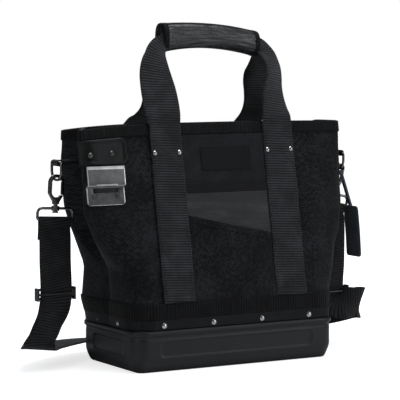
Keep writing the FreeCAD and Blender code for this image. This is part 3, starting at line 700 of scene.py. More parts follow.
# the tray's section as (height, inset), in four runs
trayFoot = [(0.0, 14.0), (0.0, 9.6), (0.8, 8.2), (2.6, 6.5), (6.0, 4.7), (10.0, 3.0), (14.0, 1.5),
            (17.5, 0.5), (20.0, 0.15)]
traySide = [(20.0 + 1.2 * k, 0.0) for k in range(1, 27)]
trayLip = [(52.3, 0.0), (52.7, -1.3), (53.3, -2.1), (54.2, -2.3), (57.0, -2.3), (58.8, -2.0), (59.4, -1.2),
           (59.5, 0.5)]
trayInside = [(59.5, 5.0), (74.0, 5.4), (74.4, 6.6), (74.0, 8.0), (30.0, 8.4), (22.0, 9.4), (10.0, 14.0),
              (5.0, 18.0)]


def trayOutline(inset, step):
    # points round the tray with the way out at each one
    x = trayShape["length"] / 2 - inset
    y = trayShape["depth"] / 2 - inset
    radius = max(2.0, trayShape["corner"] - inset)
    out = []
    arcs = int(math.ceil(trayShape["corner"] * math.pi / 2 / step))
    longRun = int(round((trayShape["length"] - 2 * trayShape["corner"]) / step))
    shortRun = int(round((trayShape["depth"] - 2 * trayShape["corner"]) / step))
    for signX, signY, start, run in ((1, -1, -90, shortRun), (1, 1, 0, longRun), (-1, 1, 90, shortRun),
                                     (-1, -1, 180, longRun)):
        cx, cy = signX * (x - radius), signY * (y - radius)
        for k in range(arcs):
            a = math.radians(start + 90 * k / arcs)
            out.append((Vector((cx + radius * math.cos(a), cy + radius * math.sin(a), 0)),
                        Vector((math.cos(a), math.sin(a), 0))))
        a = math.radians(start + 90)
        way = Vector((math.cos(a), math.sin(a), 0))
        first = Vector((cx, cy, 0)) + way * radius
        forward = Vector((-way.y, way.x, 0))
        length = 2 * ((y if run == shortRun else x) - radius)
        out += [(first + forward * length * k / run, way) for k in range(run)]
    return out


def panelHollow(place, way, z):
    # rounded pressed panel in the middle of each side, with a rolled edge
    along = place.x if abs(way.y) > 0.99 else place.y
    if max(abs(way.x), abs(way.y)) < 0.99:
        return 0.0
    half = (trayShape["length"] if abs(way.y) > 0.99 else trayShape["depth"]) / 2 - trayShape["panelMargin"]
    mid = (trayShape["panelLow"] + trayShape["panelHigh"]) / 2
    tall = (trayShape["panelHigh"] - trayShape["panelLow"]) / 2 + 1
    radius = trayShape["panelCorner"]
    dx = abs(along) - (half - radius)
    dz = abs(z - mid) - (tall - radius)
    away = math.hypot(max(dx, 0), max(dz, 0)) + min(max(dx, dz), 0) - radius
    return (-trayShape["panelDeep"] * (1 - smoothStep(-1.4, 0.2, away))
            + 0.45 * math.exp(-((away - 1.0) / 1.1) ** 2))


def makeTray():
    # from the underside up the outside, over the lip and down the inside
    lines = []
    for z, inset in trayFoot + traySide + trayLip + trayInside:
        outerWall = abs(inset) < 0.2
        line = []
        for place, way in trayOutline(inset, trayShape["step"]):
            push = panelHollow(place, way, z) if 19.5 < z < 50 and outerWall else 0.0
            sag = -trayShape["sag"] * math.exp(-((z - 49) / 2.0) ** 2) if outerWall else 0.0
            line.append(((place + way * (push + sag)) + Vector((0, 0, z))) * mm)
        lines.append(line)
    count = len(lines[0])
    verts = [v for line in lines for v in line]
    faces = gridFaces(len(lines), count, True)
    # the underside and the floor inside
    for ring, height in ((0, 0.0), (len(lines) - 1, 4.0)):
        middle = len(verts)
        verts.append(Vector((0, 0, height * mm)))
        for c in range(count):
            faces.append((middle, ring * count + c, ring * count + (c + 1) % count))
    tray = outwards(newObject("tray_moulding", verts, faces))
    return finishPiece(tray, moulded, "bag", "tray_plastic", "base_tray")


makeTray()
makeBody()
makeTrims()
print("tray, body and trims made")


# flat pieces
def slab(name, rows, outs, thick, bevel=0.7):
    # closed sheet from rows of middle points in metres and the way out at each, thinned at its edges
    columns = len(rows[0])
    rings = []
    for r, (row, ways) in enumerate(zip(rows, outs)):
        spans = running(row)
        ringTop, ringLow = [], []
        for c, (place, way) in enumerate(zip(row, ways)):
            near = min(spans[c], spans[-1] - spans[c]) / mm
            share = 0.35 + 0.65 * math.sqrt(max(0.0, 1 - (1 - min(1.0, near / bevel)) ** 2))
            if r in (0, len(rows) - 1):
                share = min(share, 0.45)
            ringTop.append(place + way * (thick / 2 * share * mm))
            ringLow.append(place - way * (thick / 2 * share * mm))
        rings.append(ringTop + ringLow[::-1])
    size = columns * 2
    verts = [v for ring in rings for v in ring]
    across = running(rows[len(rows) // 2])
    loop = across + [across[-1] + thick * mm + (across[-1] - a) for a in reversed(across)]
    loop.append(across[-1] * 2 + 2 * thick * mm)
    along = running([row[columns // 2] for row in rows])
    faces = gridFaces(len(rows), size, True)
    uvs = gridUvs(len(rows), size, True, loop, along)
    last = (len(rows) - 1) * size
    for start, height in ((0, along[0]), (last, along[-1])):
        for c in range(columns - 1):
            faces.append((start + c, start + c + 1, start + size - 2 - c, start + size - 1 - c))
            uvs.append(((across[c], height), (across[c + 1], height),
                        (across[c + 1], height), (across[c], height)))
    return outwards(newObject(name, verts, faces, uvs))


def spread(left, right, count, edge=0.7):
    # places across a strip, closer together at its two edges
    inner = [left + (right - left) * k / (count - 1) for k in range(count)]
    return [left, left + edge * 0.35, left + edge] + inner[1:-1] + [right - edge, right - edge * 0.35, right]


def panelSlab(name, left, right, low, high, inner, outer, side=-1, step=4.0, lift=None, bevel=0.7):
    # a flat piece on the panel; high may be a function of x, and lift adds to the stand-off
    rows, outs = [], []
    way = Vector((0, side * math.cos(slopeAngle), math.sin(slopeAngle)))
    tall = (high if not callable(high) else max(high(left), high(right))) - low
    shares = [k / max(2, round(tall / step)) for k in range(max(2, round(tall / step)) + 1)]
    shares = [0.0, 0.35 / tall, bevel / tall] + shares[1:-1] + [1 - bevel / tall, 1 - 0.35 / tall, 1.0]
    for share in shares:
        row = []
        for x in spread(left, right, max(4, round((right - left) / step)), bevel):
            top = high(x) if callable(high) else high
            z = low + (top - low) * share
            extra = lift(x, z, share) if lift else 0.0
            row.append(panel(x, z, (inner + outer) / 2 + extra, side))
        rows.append(row)
        outs.append([way] * len(row))
    return slab(name, rows, outs, outer - inner, bevel)


# straps and handles
handleShape = {"hinge": (43.5, 352.5), "gripHeight": 472.0, "loopDepth": 8.0, "thick": 2.5, "columns": 13,
               "leftFoot": (-121.0, -71.0), "rightFoot": (117.0, 67.0), "standOff": 2.55,
               "overBinding": 0.9, "cup": 3.2, "fullWidth": 50.5, "steps": 7}
# heights of the rows that are sewn to the panel, from the foot to just under the hinge
sewnHeights = (97.8, 98.6, 101) + tuple(105 + 5 * k for k in range(45)) + (329, 333, 337, 342, 347)
handleTilt = math.atan((handleShape["hinge"][0] - handleShape["loopDepth"])
                       / (handleShape["gripHeight"] - handleShape["hinge"][1]))


def handlePlace(x, h, out, side):
    depth, height = handleShape["hinge"]
    y = depth - h * math.sin(handleTilt) + out * math.cos(handleTilt)
    return Vector((x, side * y, height + h * math.cos(handleTilt) + out * math.sin(handleTilt))) * mm


# the webbing above the rim from the left foot to the right: outer edge and inner edge, each as x, height up
# the loop and how far it stands out from the loop's plane
arches = {"front": [
    ((-127, 11.7, 0.9), (-71, 10.5, 1.6)), ((-129, 30.1, 2.2), (-72.5, 31.5, 4)),
    ((-129.5, 48.8, 2.5), (-75, 49.9, 5)), ((-128.5, 68.4, 3.1), (-78.5, 64.1, 6)),
    ((-125, 83, 3.3), (-81, 76.8, 6)), ((-119, 95.6, 2.9), (-82, 87.8, 4.7)),
    ((-111, 106.1, 2.8), (-82, 95.6, 2.9)), ((-102, 116.5, 2.8), (-80, 101.6, 0.4)),
    ((-90, 124.1, 1.9), (-77, 106.3, -1.3)), ((-79, 130.4, 1.7), (-71, 109.5, -2)),
    ((-55, 134, 0), (-55, 112, 0)), ((0, 136, 0), (0, 114, 0)), ((55, 131, 0), (55, 108, 0)),
    ((86, 123, -0.6), (72, 104.5, -2)), ((100, 111.9, -2.7), (77, 100.9, -0.8)),
    ((108, 102, -4.6), (79, 95.4, 3.8)), ((113, 91.2, -6.8), (79.5, 86.4, 9.5)),
    ((116, 80.1, -8), (79, 73.6, 14)), ((116, 65.8, -9), (76, 61.3, 16.6)),
    ((113.5, 51, -8.3), (70, 47.7, 16.8)), ((113.5, 35.2, -7.8), (65.5, 32.7, 14.4)),
    ((115, 19.1, -6), (65, 19.6, 9.5)), ((117, 5.9, -3), (66.3, 5.8, 3.3))],
    "back": [
    ((-110, 3, -1.5), (-66, 2.5, -1)), ((-103.5, 8, -4), (-63, 7, -2)), ((-97.5, 19, -8), (-59, 19, -4)),
    ((-95.5, 34, -9), (-57.5, 33, -5)), ((-98, 52, -8), (-60, 49, -5)), ((-99, 70, -7), (-62, 68, -3)),
    ((-99, 88, -4), (-66, 84, -1)), ((-98, 104, -2), (-71, 96, 0)), ((-92, 117, -1), (-76, 104, 0)),
    ((-80, 127, 0), (-77, 108, 0)), ((-55, 134, 0), (-55, 112, 0)), ((0, 136, 0), (0, 114, 0)),
    ((55, 131, 0), (55, 108, 0)), ((86, 121, 0), (80, 104, 0)), ((99, 112, 0), (84, 100, 0)),
    ((110, 100, 0), (83.5, 93, 0)), ((117, 87, 0), (80, 82, 0)), ((120, 72, -1), (76, 72, 0)),
    ((122, 55, -2), (75, 58, -2)), ((124, 38, -3), (77.5, 42, -5)), ((125, 23, -3), (79.5, 26, -6)),
    ((123, 9, -1), (79, 9, -3))]}


def sewnEdge(x, side):
    # one edge of the webbing up the panel, stepping out over the rim's binding
    settings = handleShape
    stand = [settings["standOff"] + settings["overBinding"] * smoothStep(326, 336, z) for z in sewnHeights]
    return [panel(x, z, off, side) for z, off in zip(sewnHeights, stand)]


def makeHandle(side, word):
    # one length of webbing: up the panel, over the rim, through the grip and down again
    settings = handleShape
    columns = settings["columns"]
    lines = []
    for edge in (0, 1):
        leftEdge = sewnEdge(settings["leftFoot"][edge], side)
        rightEdge = sewnEdge(settings["rightFoot"][edge], side)
        arch = [handlePlace(*pair[edge], side) for pair in arches[word]]
        bend = curveThrough([leftEdge[-1]] + arch + [rightEdge[-1]], settings["steps"])[1:-1]
        lines.append(leftEdge + bend + rightEdge[::-1])
    outerLine, innerLine = lines
    rows, outs = [], []
    count = len(outerLine)
    for r in range(count):
        a, b = outerLine[r], innerLine[r]
        width = (b - a).length / mm
        shares = [s / width for s in spread(0, width, columns - 4)]
        ahead = (outerLine[min(r + 1, count - 1)] + innerLine[min(r + 1, count - 1)]) / 2
        behind = (outerLine[max(r - 1, 0)] + innerLine[max(r - 1, 0)]) / 2
        way = (b - a).cross(ahead - behind).normalized()
        if r < len(sewnHeights) or r >= count - len(sewnHeights):
            way = Vector((0, side * math.cos(slopeAngle), math.sin(slopeAngle)))
        elif way.y * side < 0:
            way = -way
        # a soft cup across the width where the webbing turns into the grip
        cup = settings["cup"] * max(0.0, 1 - width / settings["fullWidth"])
        rows.append([a.lerp(b, s) + way * (cup * math.sin(math.pi * s) * mm) for s in shares])
        outs.append([way] * len(shares))
    piece = slab(word + "_handle_webbing", rows, outs, settings["thick"])
    piece.data.materials.append(webbing)
    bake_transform(piece)
    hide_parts(word + "_strap_left", word + "_strap_right", word + "_handle_loop")
    return piece


gripShape = {"left": -80.0, "right": 80.0, "gap": 0.25, "bindingWide": 8.0, "depth": 13.5,
             "squareness": 2.6, "height": 474.3, "tilt": 4.5, "arch": 7.5, "radius": 16.6, "taper": 0.4,
             "leftSwell": 2.6, "rightSwell": 0.9}


def gripCentre(x):
    t = x / gripShape["right"]
    return gripShape["height"] - gripShape["tilt"] * t - gripShape["arch"] * t * t


def gripRadius(x):
    t = x / gripShape["right"]
    swell = gripShape["leftSwell"] if t < 0 else gripShape["rightSwell"]
    return gripShape["radius"] + swell * t * t - gripShape["taper"] * t


def gripPoint(x, angle, side, off=0.0, crease=True):
    # angle 0 points straight out and 90 up, round a flattened block rather than a true circle
    c, s = math.cos(angle), math.sin(angle)
    power = gripShape["squareness"]
    reach = (abs(c) ** power + abs(s) ** power) ** (-1 / power)
    if crease:
        off += 0.95 * wobble(x * 0.12, angle * 15, side * 30, 3.0)
        off += 0.4 * wobble(x * 0.3, angle * 40, side * 9, 3.0)
    y = max(0.0, (reach * gripShape["depth"] + off) * c)
    z = gripCentre(x) + (reach * gripRadius(x) + off) * s
    return Vector((x, side * (gripShape["gap"] + y), z)) * mm


def gripShell(name, side, left, right, low, high, off, thick, material, body, replaced=(), crease=False,
              back=False):
    # curved patch of the grip between two angles, or the whole half with a flat back
    xs = [left + 0.01, left + 0.35, left + 0.9] + [left + (right - left) * k / 60 for k in range(1, 60)]
    xs = [x for x in xs if x < right - 1.0] + [right - 0.9, right - 0.35, right - 0.01]
    count = 40
    angles = [low + (high - low) * k / count for k in range(count + 1)]
    rows = []
    for x in xs:
        endFade = min(1.0, min(x - left, right - x) / 0.9)
        shrink = -(1 - math.sqrt(1 - (1 - endFade) ** 2)) * min(thick, 1.2)
        ring = []
        for k, a in enumerate(angles):
            edge = min(k, count - k)
            soft = 0.0 if back else -thick * 0.6 * max(0.0, 1 - edge / 1.5) ** 2
            ring.append(gripPoint(x, a, side, off + shrink + soft, crease))
        if back:
            inner = [Vector((x * mm, side * gripShape["gap"] * mm, p.z)) for p in ring[-2:0:-4]]
        else:
            inner = [gripPoint(x, a, side, off - thick, crease) for a in reversed(angles)]
        rows.append(ring + inner)
    size = len(rows[0])
    verts = [v for row in rows for v in row]
    across = running(rows[len(rows) // 2], closed=True)
    along = running([row[count // 2] for row in rows])
    faces = gridFaces(len(rows), size, True)
    uvs = gridUvs(len(rows), size, True, across, along)
    uvs = [tuple((v, u) for u, v in corner) for corner in uvs]
    for ring in (0, len(rows) - 1):
        middle = len(verts)
        verts.append(sum((rows[ring][k] for k in range(size)), Vector()) / size)
        for c in range(size):
            faces.append((ring * size + c, ring * size + (c + 1) % size, middle))
            uvs.append(((0, 0), (0.001, 0), (0, 0.001)))
    piece = outwards(newObject(name, verts, faces, uvs))
    return finishPiece(piece, material, body, "leather", *replaced)


def makeGrip(side, word):
    settings = gripShape
    left, right = settings["left"], settings["right"]
    wide = settings["bindingWide"]
    body = word + "_handle"
    start = "grip_" + word + "_"
    quarter = math.pi / 2
    gripShell(start + "wrap", side, left, right, -quarter, quarter, 0.0, 2.0, facingCloth, body,
              [start + "half"],
              back=True)
    patchLeft, patchRight = left + wide * 0.6, right - wide * 0.6
    patchTurn = math.radians(60)
    gripShell(start + "patch", side, patchLeft, patchRight, -patchTurn, patchTurn, 1.15, 1.6, gripLeather,
              body,
              crease=True)
    for hand, low in (("left", left - 0.4), ("right", right - wide + 0.4)):
        gripShell(start + "binding_" + hand, side, low, low + wide, -quarter * 0.98, quarter * 0.98, 1.9, 2.1,
                  bindingTape, body, [start + "cuff_" + hand])
    for edge, low, high in (("low", -85, -55), ("high", 55, 85)):
        gripShell(start + "edge_" + edge, side, left + wide - 1.5, right - wide + 1.5, math.radians(low),
                  math.radians(high), 1.6, 1.7, bindingTape, body)


for side, word in ((-1, "front"), (1, "back")):
    makeHandle(side, word)
    makeGrip(side, word)
print("handles and grip made")


# front panel pieces
frontShape = {"left": -70.0, "right": 66.0, "underStraps": 3.0, "facing": (262.0, 332.6),
              "binding": (249.5, 263.5), "edge": (218.0, 188.0), "edgeSag": 1.6, "insertLow": 176.0,
              "pocketLow": 97.5, "pocketBulge": 6.0, "label": (-41.0, 43.0, 281.0, 315.0)}


def pocketEdge(x):
    left, right = frontShape["left"], frontShape["right"]
    share = (x - left) / (right - left)
    return blendTo(*frontShape["edge"], share) - frontShape["edgeSag"] * math.sin(math.pi * share)


def pocketLift(x, z, share):
    t = (x - frontShape["left"]) / (frontShape["right"] - frontShape["left"])
    belly = math.sin(math.pi * min(1.0, max(0.0, t))) ** 0.75
    rise = smoothStep(0.0, 0.75, share)
    ripple = 0.5 * wobble(x, 3, z, 26.0) * belly
    return frontShape["pocketBulge"] * belly * rise * (0.75 + 0.25 * share) + ripple


def makeFront():
    left = frontShape["left"] - frontShape["underStraps"]
    right = frontShape["right"] + frontShape["underStraps"]
    facing = panelSlab("facing_panel", left, right, *frontShape["facing"], 0.0, 1.3)
    finishPiece(facing, facingCloth, "bag", "facing", "front_facing")
    band = panelSlab("pocket_tape", left, right, *frontShape["binding"], 0.2, 2.2, step=3.0)
    finishPiece(band, bindingTape, "bag", "binding", "pocket_binding")
    insert = panelSlab("pocket_insert", left, right, frontShape["insertLow"], frontShape["binding"][0] + 3,
                       0.0, 1.4,
                       lift=lambda x, z, share: 0.35 * wobble(x, 8, z, 30.0))
    finishPiece(insert, softLeather, "bag", "leather", "pocket_leather")
    pocket = panelSlab("pocket_front", left, right, frontShape["pocketLow"], pocketEdge, 0.2, 1.7, step=3.0,
                       lift=pocketLift)
    finishPiece(pocket, canvas, "bag", "canvas", "front_pocket")
    # the turned hem along the pocket's mouth
    rows, outs = [], []
    way = Vector((0, -math.cos(slopeAngle), math.sin(slopeAngle)))
    drops = (-9.5, -9.2, -8.6, -6, -4, -2, 0.2, 0.7, 1.0)
    for x in spread(left + 0.5, right - 0.5, 40):
        top = pocketEdge(x)
        rows.append([panel(x, top + drop, 1.75 + pocketLift(x, top + drop, 1.0)) for drop in drops])
        outs.append([way] * len(drops))
    hem = slab("pocket_hem", rows, outs, 1.5, bevel=0.6)
    finishPiece(hem, canvas, "bag", "canvas")
    label = panelSlab("label_patch", *frontShape["label"], 1.3, 2.2, step=3.0)
    finishPiece(label, labelSatin, "bag", "label", "woven_label")


makeFront()
print("front pieces made")


# tape clip
clipShape = {"left": -229.0, "right": -170.0, "low": 238.0, "high": 291.0, "corner": 5.0, "steel": 1.5,
             "slot": (-219.0, -179.0, 255.0, 262.2), "footTop": 262.5, "highlightEdge": 1.3, "flapLeft": -232.0,
             "flapRight": -160.0, "flapLow": 292.5, "flapHigh": 333.0, "flapCorner": 11.0,
             "foldStart": -213.0, "rivets": ((-219, 307), (-185.5, 309))}
# height and stand-off up the pressed steel: riveted foot, sharp step, and a tongue that stands off for a belt
plateProfile = [(238.0, 2.8), (238.6, 2.8), (239.6, 2.8), (241, 2.8), (243, 2.8), (247, 2.8), (251, 2.8),
                (255, 2.8), (258.2, 2.8), (260, 2.8), (262.2, 2.8), (263.0, 3.1), (263.6, 3.9),
                (263.9, 5.2), (264.1, 6.6), (264.5, 7.8), (265.3, 8.6), (266.6, 8.9), (270, 9.0),
                (276, 9.0), (282, 9.0), (287, 9.0), (290.0, 9.1), (291.2, 9.5)]


def clipPlace(x, z, off):
    # the panel here, turned back where it rounds the fold of the bag
    back = max(0.0, clipShape["foldStart"] - x)
    place = panel(x, z, off)
    place.y += back ** 2 / 34 * mm
    return place


def makeFlap():
    settings = clipShape
    rows, outs = [], []
    way = Vector((-0.05, -math.cos(slopeAngle), math.sin(slopeAngle))).normalized()
    low, high, corner = settings["flapLow"], settings["flapHigh"], settings["flapCorner"]
    shares = [0, 0.01, 0.03] + [k / 16 for k in range(1, 16)] + [0.97, 0.99, 1]
    for share in shares:
        z = low + (high - low) * share
        nearEdge = min(z - low, high - z)
        pull = corner - math.sqrt(max(0.0, corner ** 2 - (corner - min(corner, nearEdge)) ** 2))
        right = settings["flapRight"] - pull
        row = []
        for x in spread(settings["flapLeft"], right, 26, 1.2):
            edge = min(right - x, nearEdge)
            # a rolled rim, and the rivets pressing the flap down
            roll = 1.5 * math.exp(-((edge - 3.0) / 1.8) ** 2) - 0.5 * math.exp(-((edge - 7.0) / 2.0) ** 2)
            ring = min(math.hypot(x - rivetX, z - rivetZ) for rivetX, rivetZ in settings["rivets"])
            pressed = -0.9 * math.exp(-(ring / 6.5) ** 2)
            row.append(clipPlace(x, z, 3.4 + roll + pressed + 0.6 * wobble(x, 5, z, 14.0)))
        rows.append(row)
        outs.append([way] * len(row))
    flap = slab("clip_flap", rows, outs, 2.6, bevel=1.2)
    rows = []
    for z in (239.5, 239.9, 240.7) + tuple(245 + 6 * k for k in range(8)) + (291, 294):
        rows.append([clipPlace(x, z, 0.9) for x in spread(settings["left"] + 1, settings["right"] - 1, 14)])
    backing = slab("clip_backing", rows, [[way] * len(rows[0]) for row in rows], 1.7)
    flap = joinPieces("clip_flap_leather", [flap, backing])
    finishPiece(flap, flapLeather, "bag", "leather", "clip_leather")


def makePlate():
    settings = clipShape
    left, right = settings["left"], settings["right"]
    mid, half, corner = (left + right) / 2, (right - left) / 2, settings["corner"]
    slotLeft, slotRight, slotLow, slotHigh = settings["slot"]
    margins = [0, 0.5, 1.2, 2.4, 5]
    xs = [left + m for m in margins] + [slotLeft + (slotRight - slotLeft) * k / 12 for k in range(13)]
    xs += [right - m for m in reversed(margins)]
    verts, faces = [], []
    for z, off in plateProfile:
        near = z - settings["low"]
        pull = corner - math.sqrt(max(0.0, corner ** 2 - (corner - min(corner, near)) ** 2))
        for x in xs:
            flat = (x - mid) / half
            reach = half - pull * smoothStep(0.55, 1.0, abs(flat))
            bow = 0.35 * math.cos(flat * math.pi / 2) if z > 266 else 0.0
            verts.append(panel(mid + flat * reach, z, off + bow))
    wide = len(xs)
    for r in range(len(plateProfile) - 1):
        for c in range(wide - 1):
            z = (plateProfile[r][0] + plateProfile[r + 1][0]) / 2
            x = (xs[c] + xs[c + 1]) / 2
            if slotLow < z < slotHigh and slotLeft < x < slotRight:
                continue
            faces.append((r * wide + c, r * wide + c + 1, (r + 1) * wide + c + 1, (r + 1) * wide + c))
    plate = outwards(newObject("clip_plate_steel", verts, faces))
    addModifier(plate, "SOLIDIFY", thickness=settings["steel"] * mm, offset=0.0)
    addModifier(plate, "BEVEL", width=0.3 * mm, segments=2, limit_method="ANGLE",
                angle_limit=math.radians(50))
    outwards(applyModifiers(plate))
    finishPiece(plate, clipSteel, "bag", "steel", "clip_plate")
    plate.data.materials.append(footSteel)
    plate.data.materials.append(edgeSteel)
    outward = Vector((0, -math.cos(slopeAngle), math.sin(slopeAngle)))
    for poly in plate.data.polygons:
        poly.use_smooth = True
        # the foot below the step is darker, and the edges and turned faces get a light metal as a painted
        # highlight
        place = poly.center / mm
        rim = min(place.x - left, right - place.x, place.z - settings["low"], settings["high"] - place.z)
        if rim < settings["highlightEdge"] or abs(poly.normal.dot(outward)) < 0.93:
            poly.material_index = 2
        elif place.z < settings["footTop"]:
            poly.material_index = 1


makeFlap()
makePlate()
print("clip made")


# shoulder strap, tabs and tag
slingShape = {"wide": 49.0, "thick": 2.3, "steps": 7, "wrap": 3.5,
              "leftBar": ((-249.93, 0, 216.08), 3), "rightBar": ((229.36, 18, 217.22), 12)}
# the strap's middle line from the left loop, down, round behind the bag and up to the right loop, and which
# way its width lies at each point
slingRoute = [
    ((-249.93, 0, 190), (1, 0, -0.02)), ((-249.9, 0, 160), (1, 0, 0)), ((-249.9, 0, 98), (1, 0, 0)),
    ((-260, 1, 70), (0.97, 0.2, 0.04)), ((-269, 3, 50), (0.97, 0.14, 0.06)),
    ((-272, 10, 37), (0.98, -0.15, 0)), ((-262, 30, 29), (0.86, -0.5, -0.05)),
    ((-238, 58, 26), (0.70, -0.71, 0)), ((-200, 87, 25), (0.60, -0.80, 0)),
    ((-145, 113, 24), (0.30, -0.95, 0.1)), ((-75, 119, 26), (0, -0.92, 0.38)),
    ((5, 119, 29), (0, -0.70, 0.71)), ((85, 117, 33), (0, -0.38, 0.92)), ((155, 112, 36), (0, -0.10, 1)),
    ((215, 88, 41), (0, 0.05, 1)), ((262, 48, 53), (0, -0.2, 0.98)), ((283, 27, 60), (0, -0.42, 0.9)),
    ((279, 12, 63), (0.10, -0.3, 0.92)), ((260, 8, 64), (0.35, -0.15, 0.9)),
    ((240, 13, 66), (0.80, -0.10, 0.55)), ((229.36, 18, 78), (1, 0, 0)), ((229.36, 18, 130), (1, 0, 0)),
    ((229.2, 18, 190), (1, 0, -0.03))]


def barWrap(centre, lean):
    # the sewn turn round the loop's bar, from the stitched end behind to the front
    across = Vector((math.cos(math.radians(lean)), 0, -math.sin(math.radians(lean))))
    up = Vector((math.sin(math.radians(lean)), 0, math.cos(math.radians(lean))))
    middle = Vector(centre)
    reach = slingShape["wrap"]
    depth = Vector((0, -1, 0))
    turn = [(-29, 2.6), (-28, 2.6), (-20, 2.6), (-11, 2.8), (-5, 3.3)]
    out = [(middle + up * h - depth * d, across) for h, d in turn]
    for degrees in (0, 30, 60, 90, 120, 150, 180):
        a = math.radians(degrees)
        out.append((middle - depth * (reach * math.cos(a)) + up * (reach * math.sin(a)), across))
    out += [(middle - up * 6 + depth * 2.2, across), (middle - up * 11.5 + depth * 0.1, across)]
    return out


def ribbonFrom(name, stations, wide, thick, steps, columns=13):
    centres = curveThrough([Vector(c) * mm for c, w in stations], steps)
    widths = curveThrough([Vector(w).normalized() for c, w in stations], steps)
    rows, outs = [], []
    for r, (centre, width) in enumerate(zip(centres, widths)):
        travel = (centres[min(r + 1, len(centres) - 1)] - centres[max(r - 1, 0)]).normalized()
        width = (width - travel * width.dot(travel)).normalized()
        way = travel.cross(width)
        row = [centre + width * (s * mm) for s in spread(-wide / 2, wide / 2, columns - 4)]
        rows.append(row)
        outs.append([way] * len(row))
    return slab(name, rows, outs, thick), running(centres)[-1]


def makeSling():
    settings = slingShape
    stations = barWrap(*settings["leftBar"]) + slingRoute
    stations += list(reversed(barWrap(*settings["rightBar"])))
    strap, length = ribbonFrom("shoulder_strap_webbing", stations, settings["wide"], settings["thick"],
                               settings["steps"])
    print("shoulder strap length", round(length, 3))
    finishPiece(strap, slingWebbing, "bag", "webbing", "shoulder_strap")


tabShape = {"wide": 21.0, "thick": 2.0, "steps": 5, "reach": 44.0, "leftBar": (-247.0, 0.0),
            "rightBar": (241.0, 18.0)}
# the tab's turn round its ring, as way out from the bar and height
tabTurn = [(-20, 298.8), (-6, 299.0), (0, 299.6), (2.6, 298.6), (3.6, 296), (2.6, 293.4), (0, 292.4),
           (-6, 293.4), (-20, 294.6)]


def makeTab(hand, sign):
    barX, y = tabShape[hand + "Bar"]
    path = [(-tabShape["reach"], 298.9)] + tabTurn + [(-tabShape["reach"], 294.8)]
    stations = [((barX + sign * out, y, z), (0, 1, 0)) for out, z in path]
    tab, length = ribbonFrom(hand + "_tab_webbing", stations, tabShape["wide"], tabShape["thick"],
                             tabShape["steps"],
                             columns=9)
    finishPiece(tab, slingWebbing, "bag", "webbing", hand + "_tab")
    return length


tagShape = {"centre": (242.0, -15.5), "low": 139.0, "high": 217.0, "half": 18.5, "corner": 5.0,
            "thick": 2.8, "lean": 7.0, "bend": 0.9, "paintedEdge": 1.3}


def makeTag():
    # stitched leather tag with painted edges, hanging from the ring on a narrow loop
    settings = tagShape
    centreX, centreY = settings["centre"]
    low, high, half, corner = settings["low"], settings["high"], settings["half"], settings["corner"]
    rows, outs = [], []
    heights = ([low, low + 0.4, low + 1.2] + [low + 2.5 + k * 2.92 for k in range(26)]
               + [high - 1.2, high - 0.4, high])
    for z in heights:
        near = min(z - low, high - z)
        pull = corner - math.sqrt(max(0.0, corner ** 2 - (corner - min(corner, near)) ** 2))
        up = (z - low) / (high - low)
        row = []
        for y in spread(-half + pull, half - pull, 12):
            edge = min(near, half - abs(y))
            groove = -0.075 * math.exp(-((edge - 3.2) / 0.5) ** 2)
            bend = settings["bend"] * math.sin(up * math.pi) + settings["lean"] * (1 - up)
            row.append(Vector((centreX + bend + groove, centreY + y, z)) * mm)
        rows.append(row)
        outs.append([Vector((1, 0, 0))] * len(row))
    tag = slab("hang_tag_leather", rows, outs, settings["thick"], bevel=0.8)
    finishPiece(tag, tagSkin, "tag", "tag_leather", "hang_tag")
    tag.data.materials.append(navyPaint)
    for poly in tag.data.polygons:
        middle = sum((tag.data.vertices[v].co for v in poly.vertices), Vector()) / len(poly.vertices) / mm
        edge = min(half - abs(middle.y - centreY), middle.z - low, high - middle.z)
        if edge < settings["paintedEdge"] or abs(poly.normal.x) < 0.6:
            poly.material_index = 1


makeSling()
print("tab lengths", [round(makeTab(hand, sign), 3) for hand, sign in (("left", -1), ("right", 1))])
makeTag()
print("sling, tabs and tag made")


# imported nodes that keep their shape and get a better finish
nodeFinish = {
    "base_rivets": nickel, "front_strap_rivets": nickel, "back_strap_rivets": nickel,
    "clip_rivets_upper": dullRivet, "clip_rivets_lower": dullRivet, "tag_strap": navyPaint}
for hand in ("left", "right"):
    nodeFinish.update({hand + part: gunmetal for part in ("_ring", "_hook", "_gate", "_strap_loop")})
    nodeFinish[hand + "_slider"] = blackWire
for nodeName, finish in nodeFinish.items():
    nodes[nodeName].data.materials.clear()
    nodes[nodeName].data.materials.append(finish)
print("metal finished")


# stitching
stitchShape = {"pitch": 3.6, "length": 2.7, "radius": 0.3, "sides": 6}


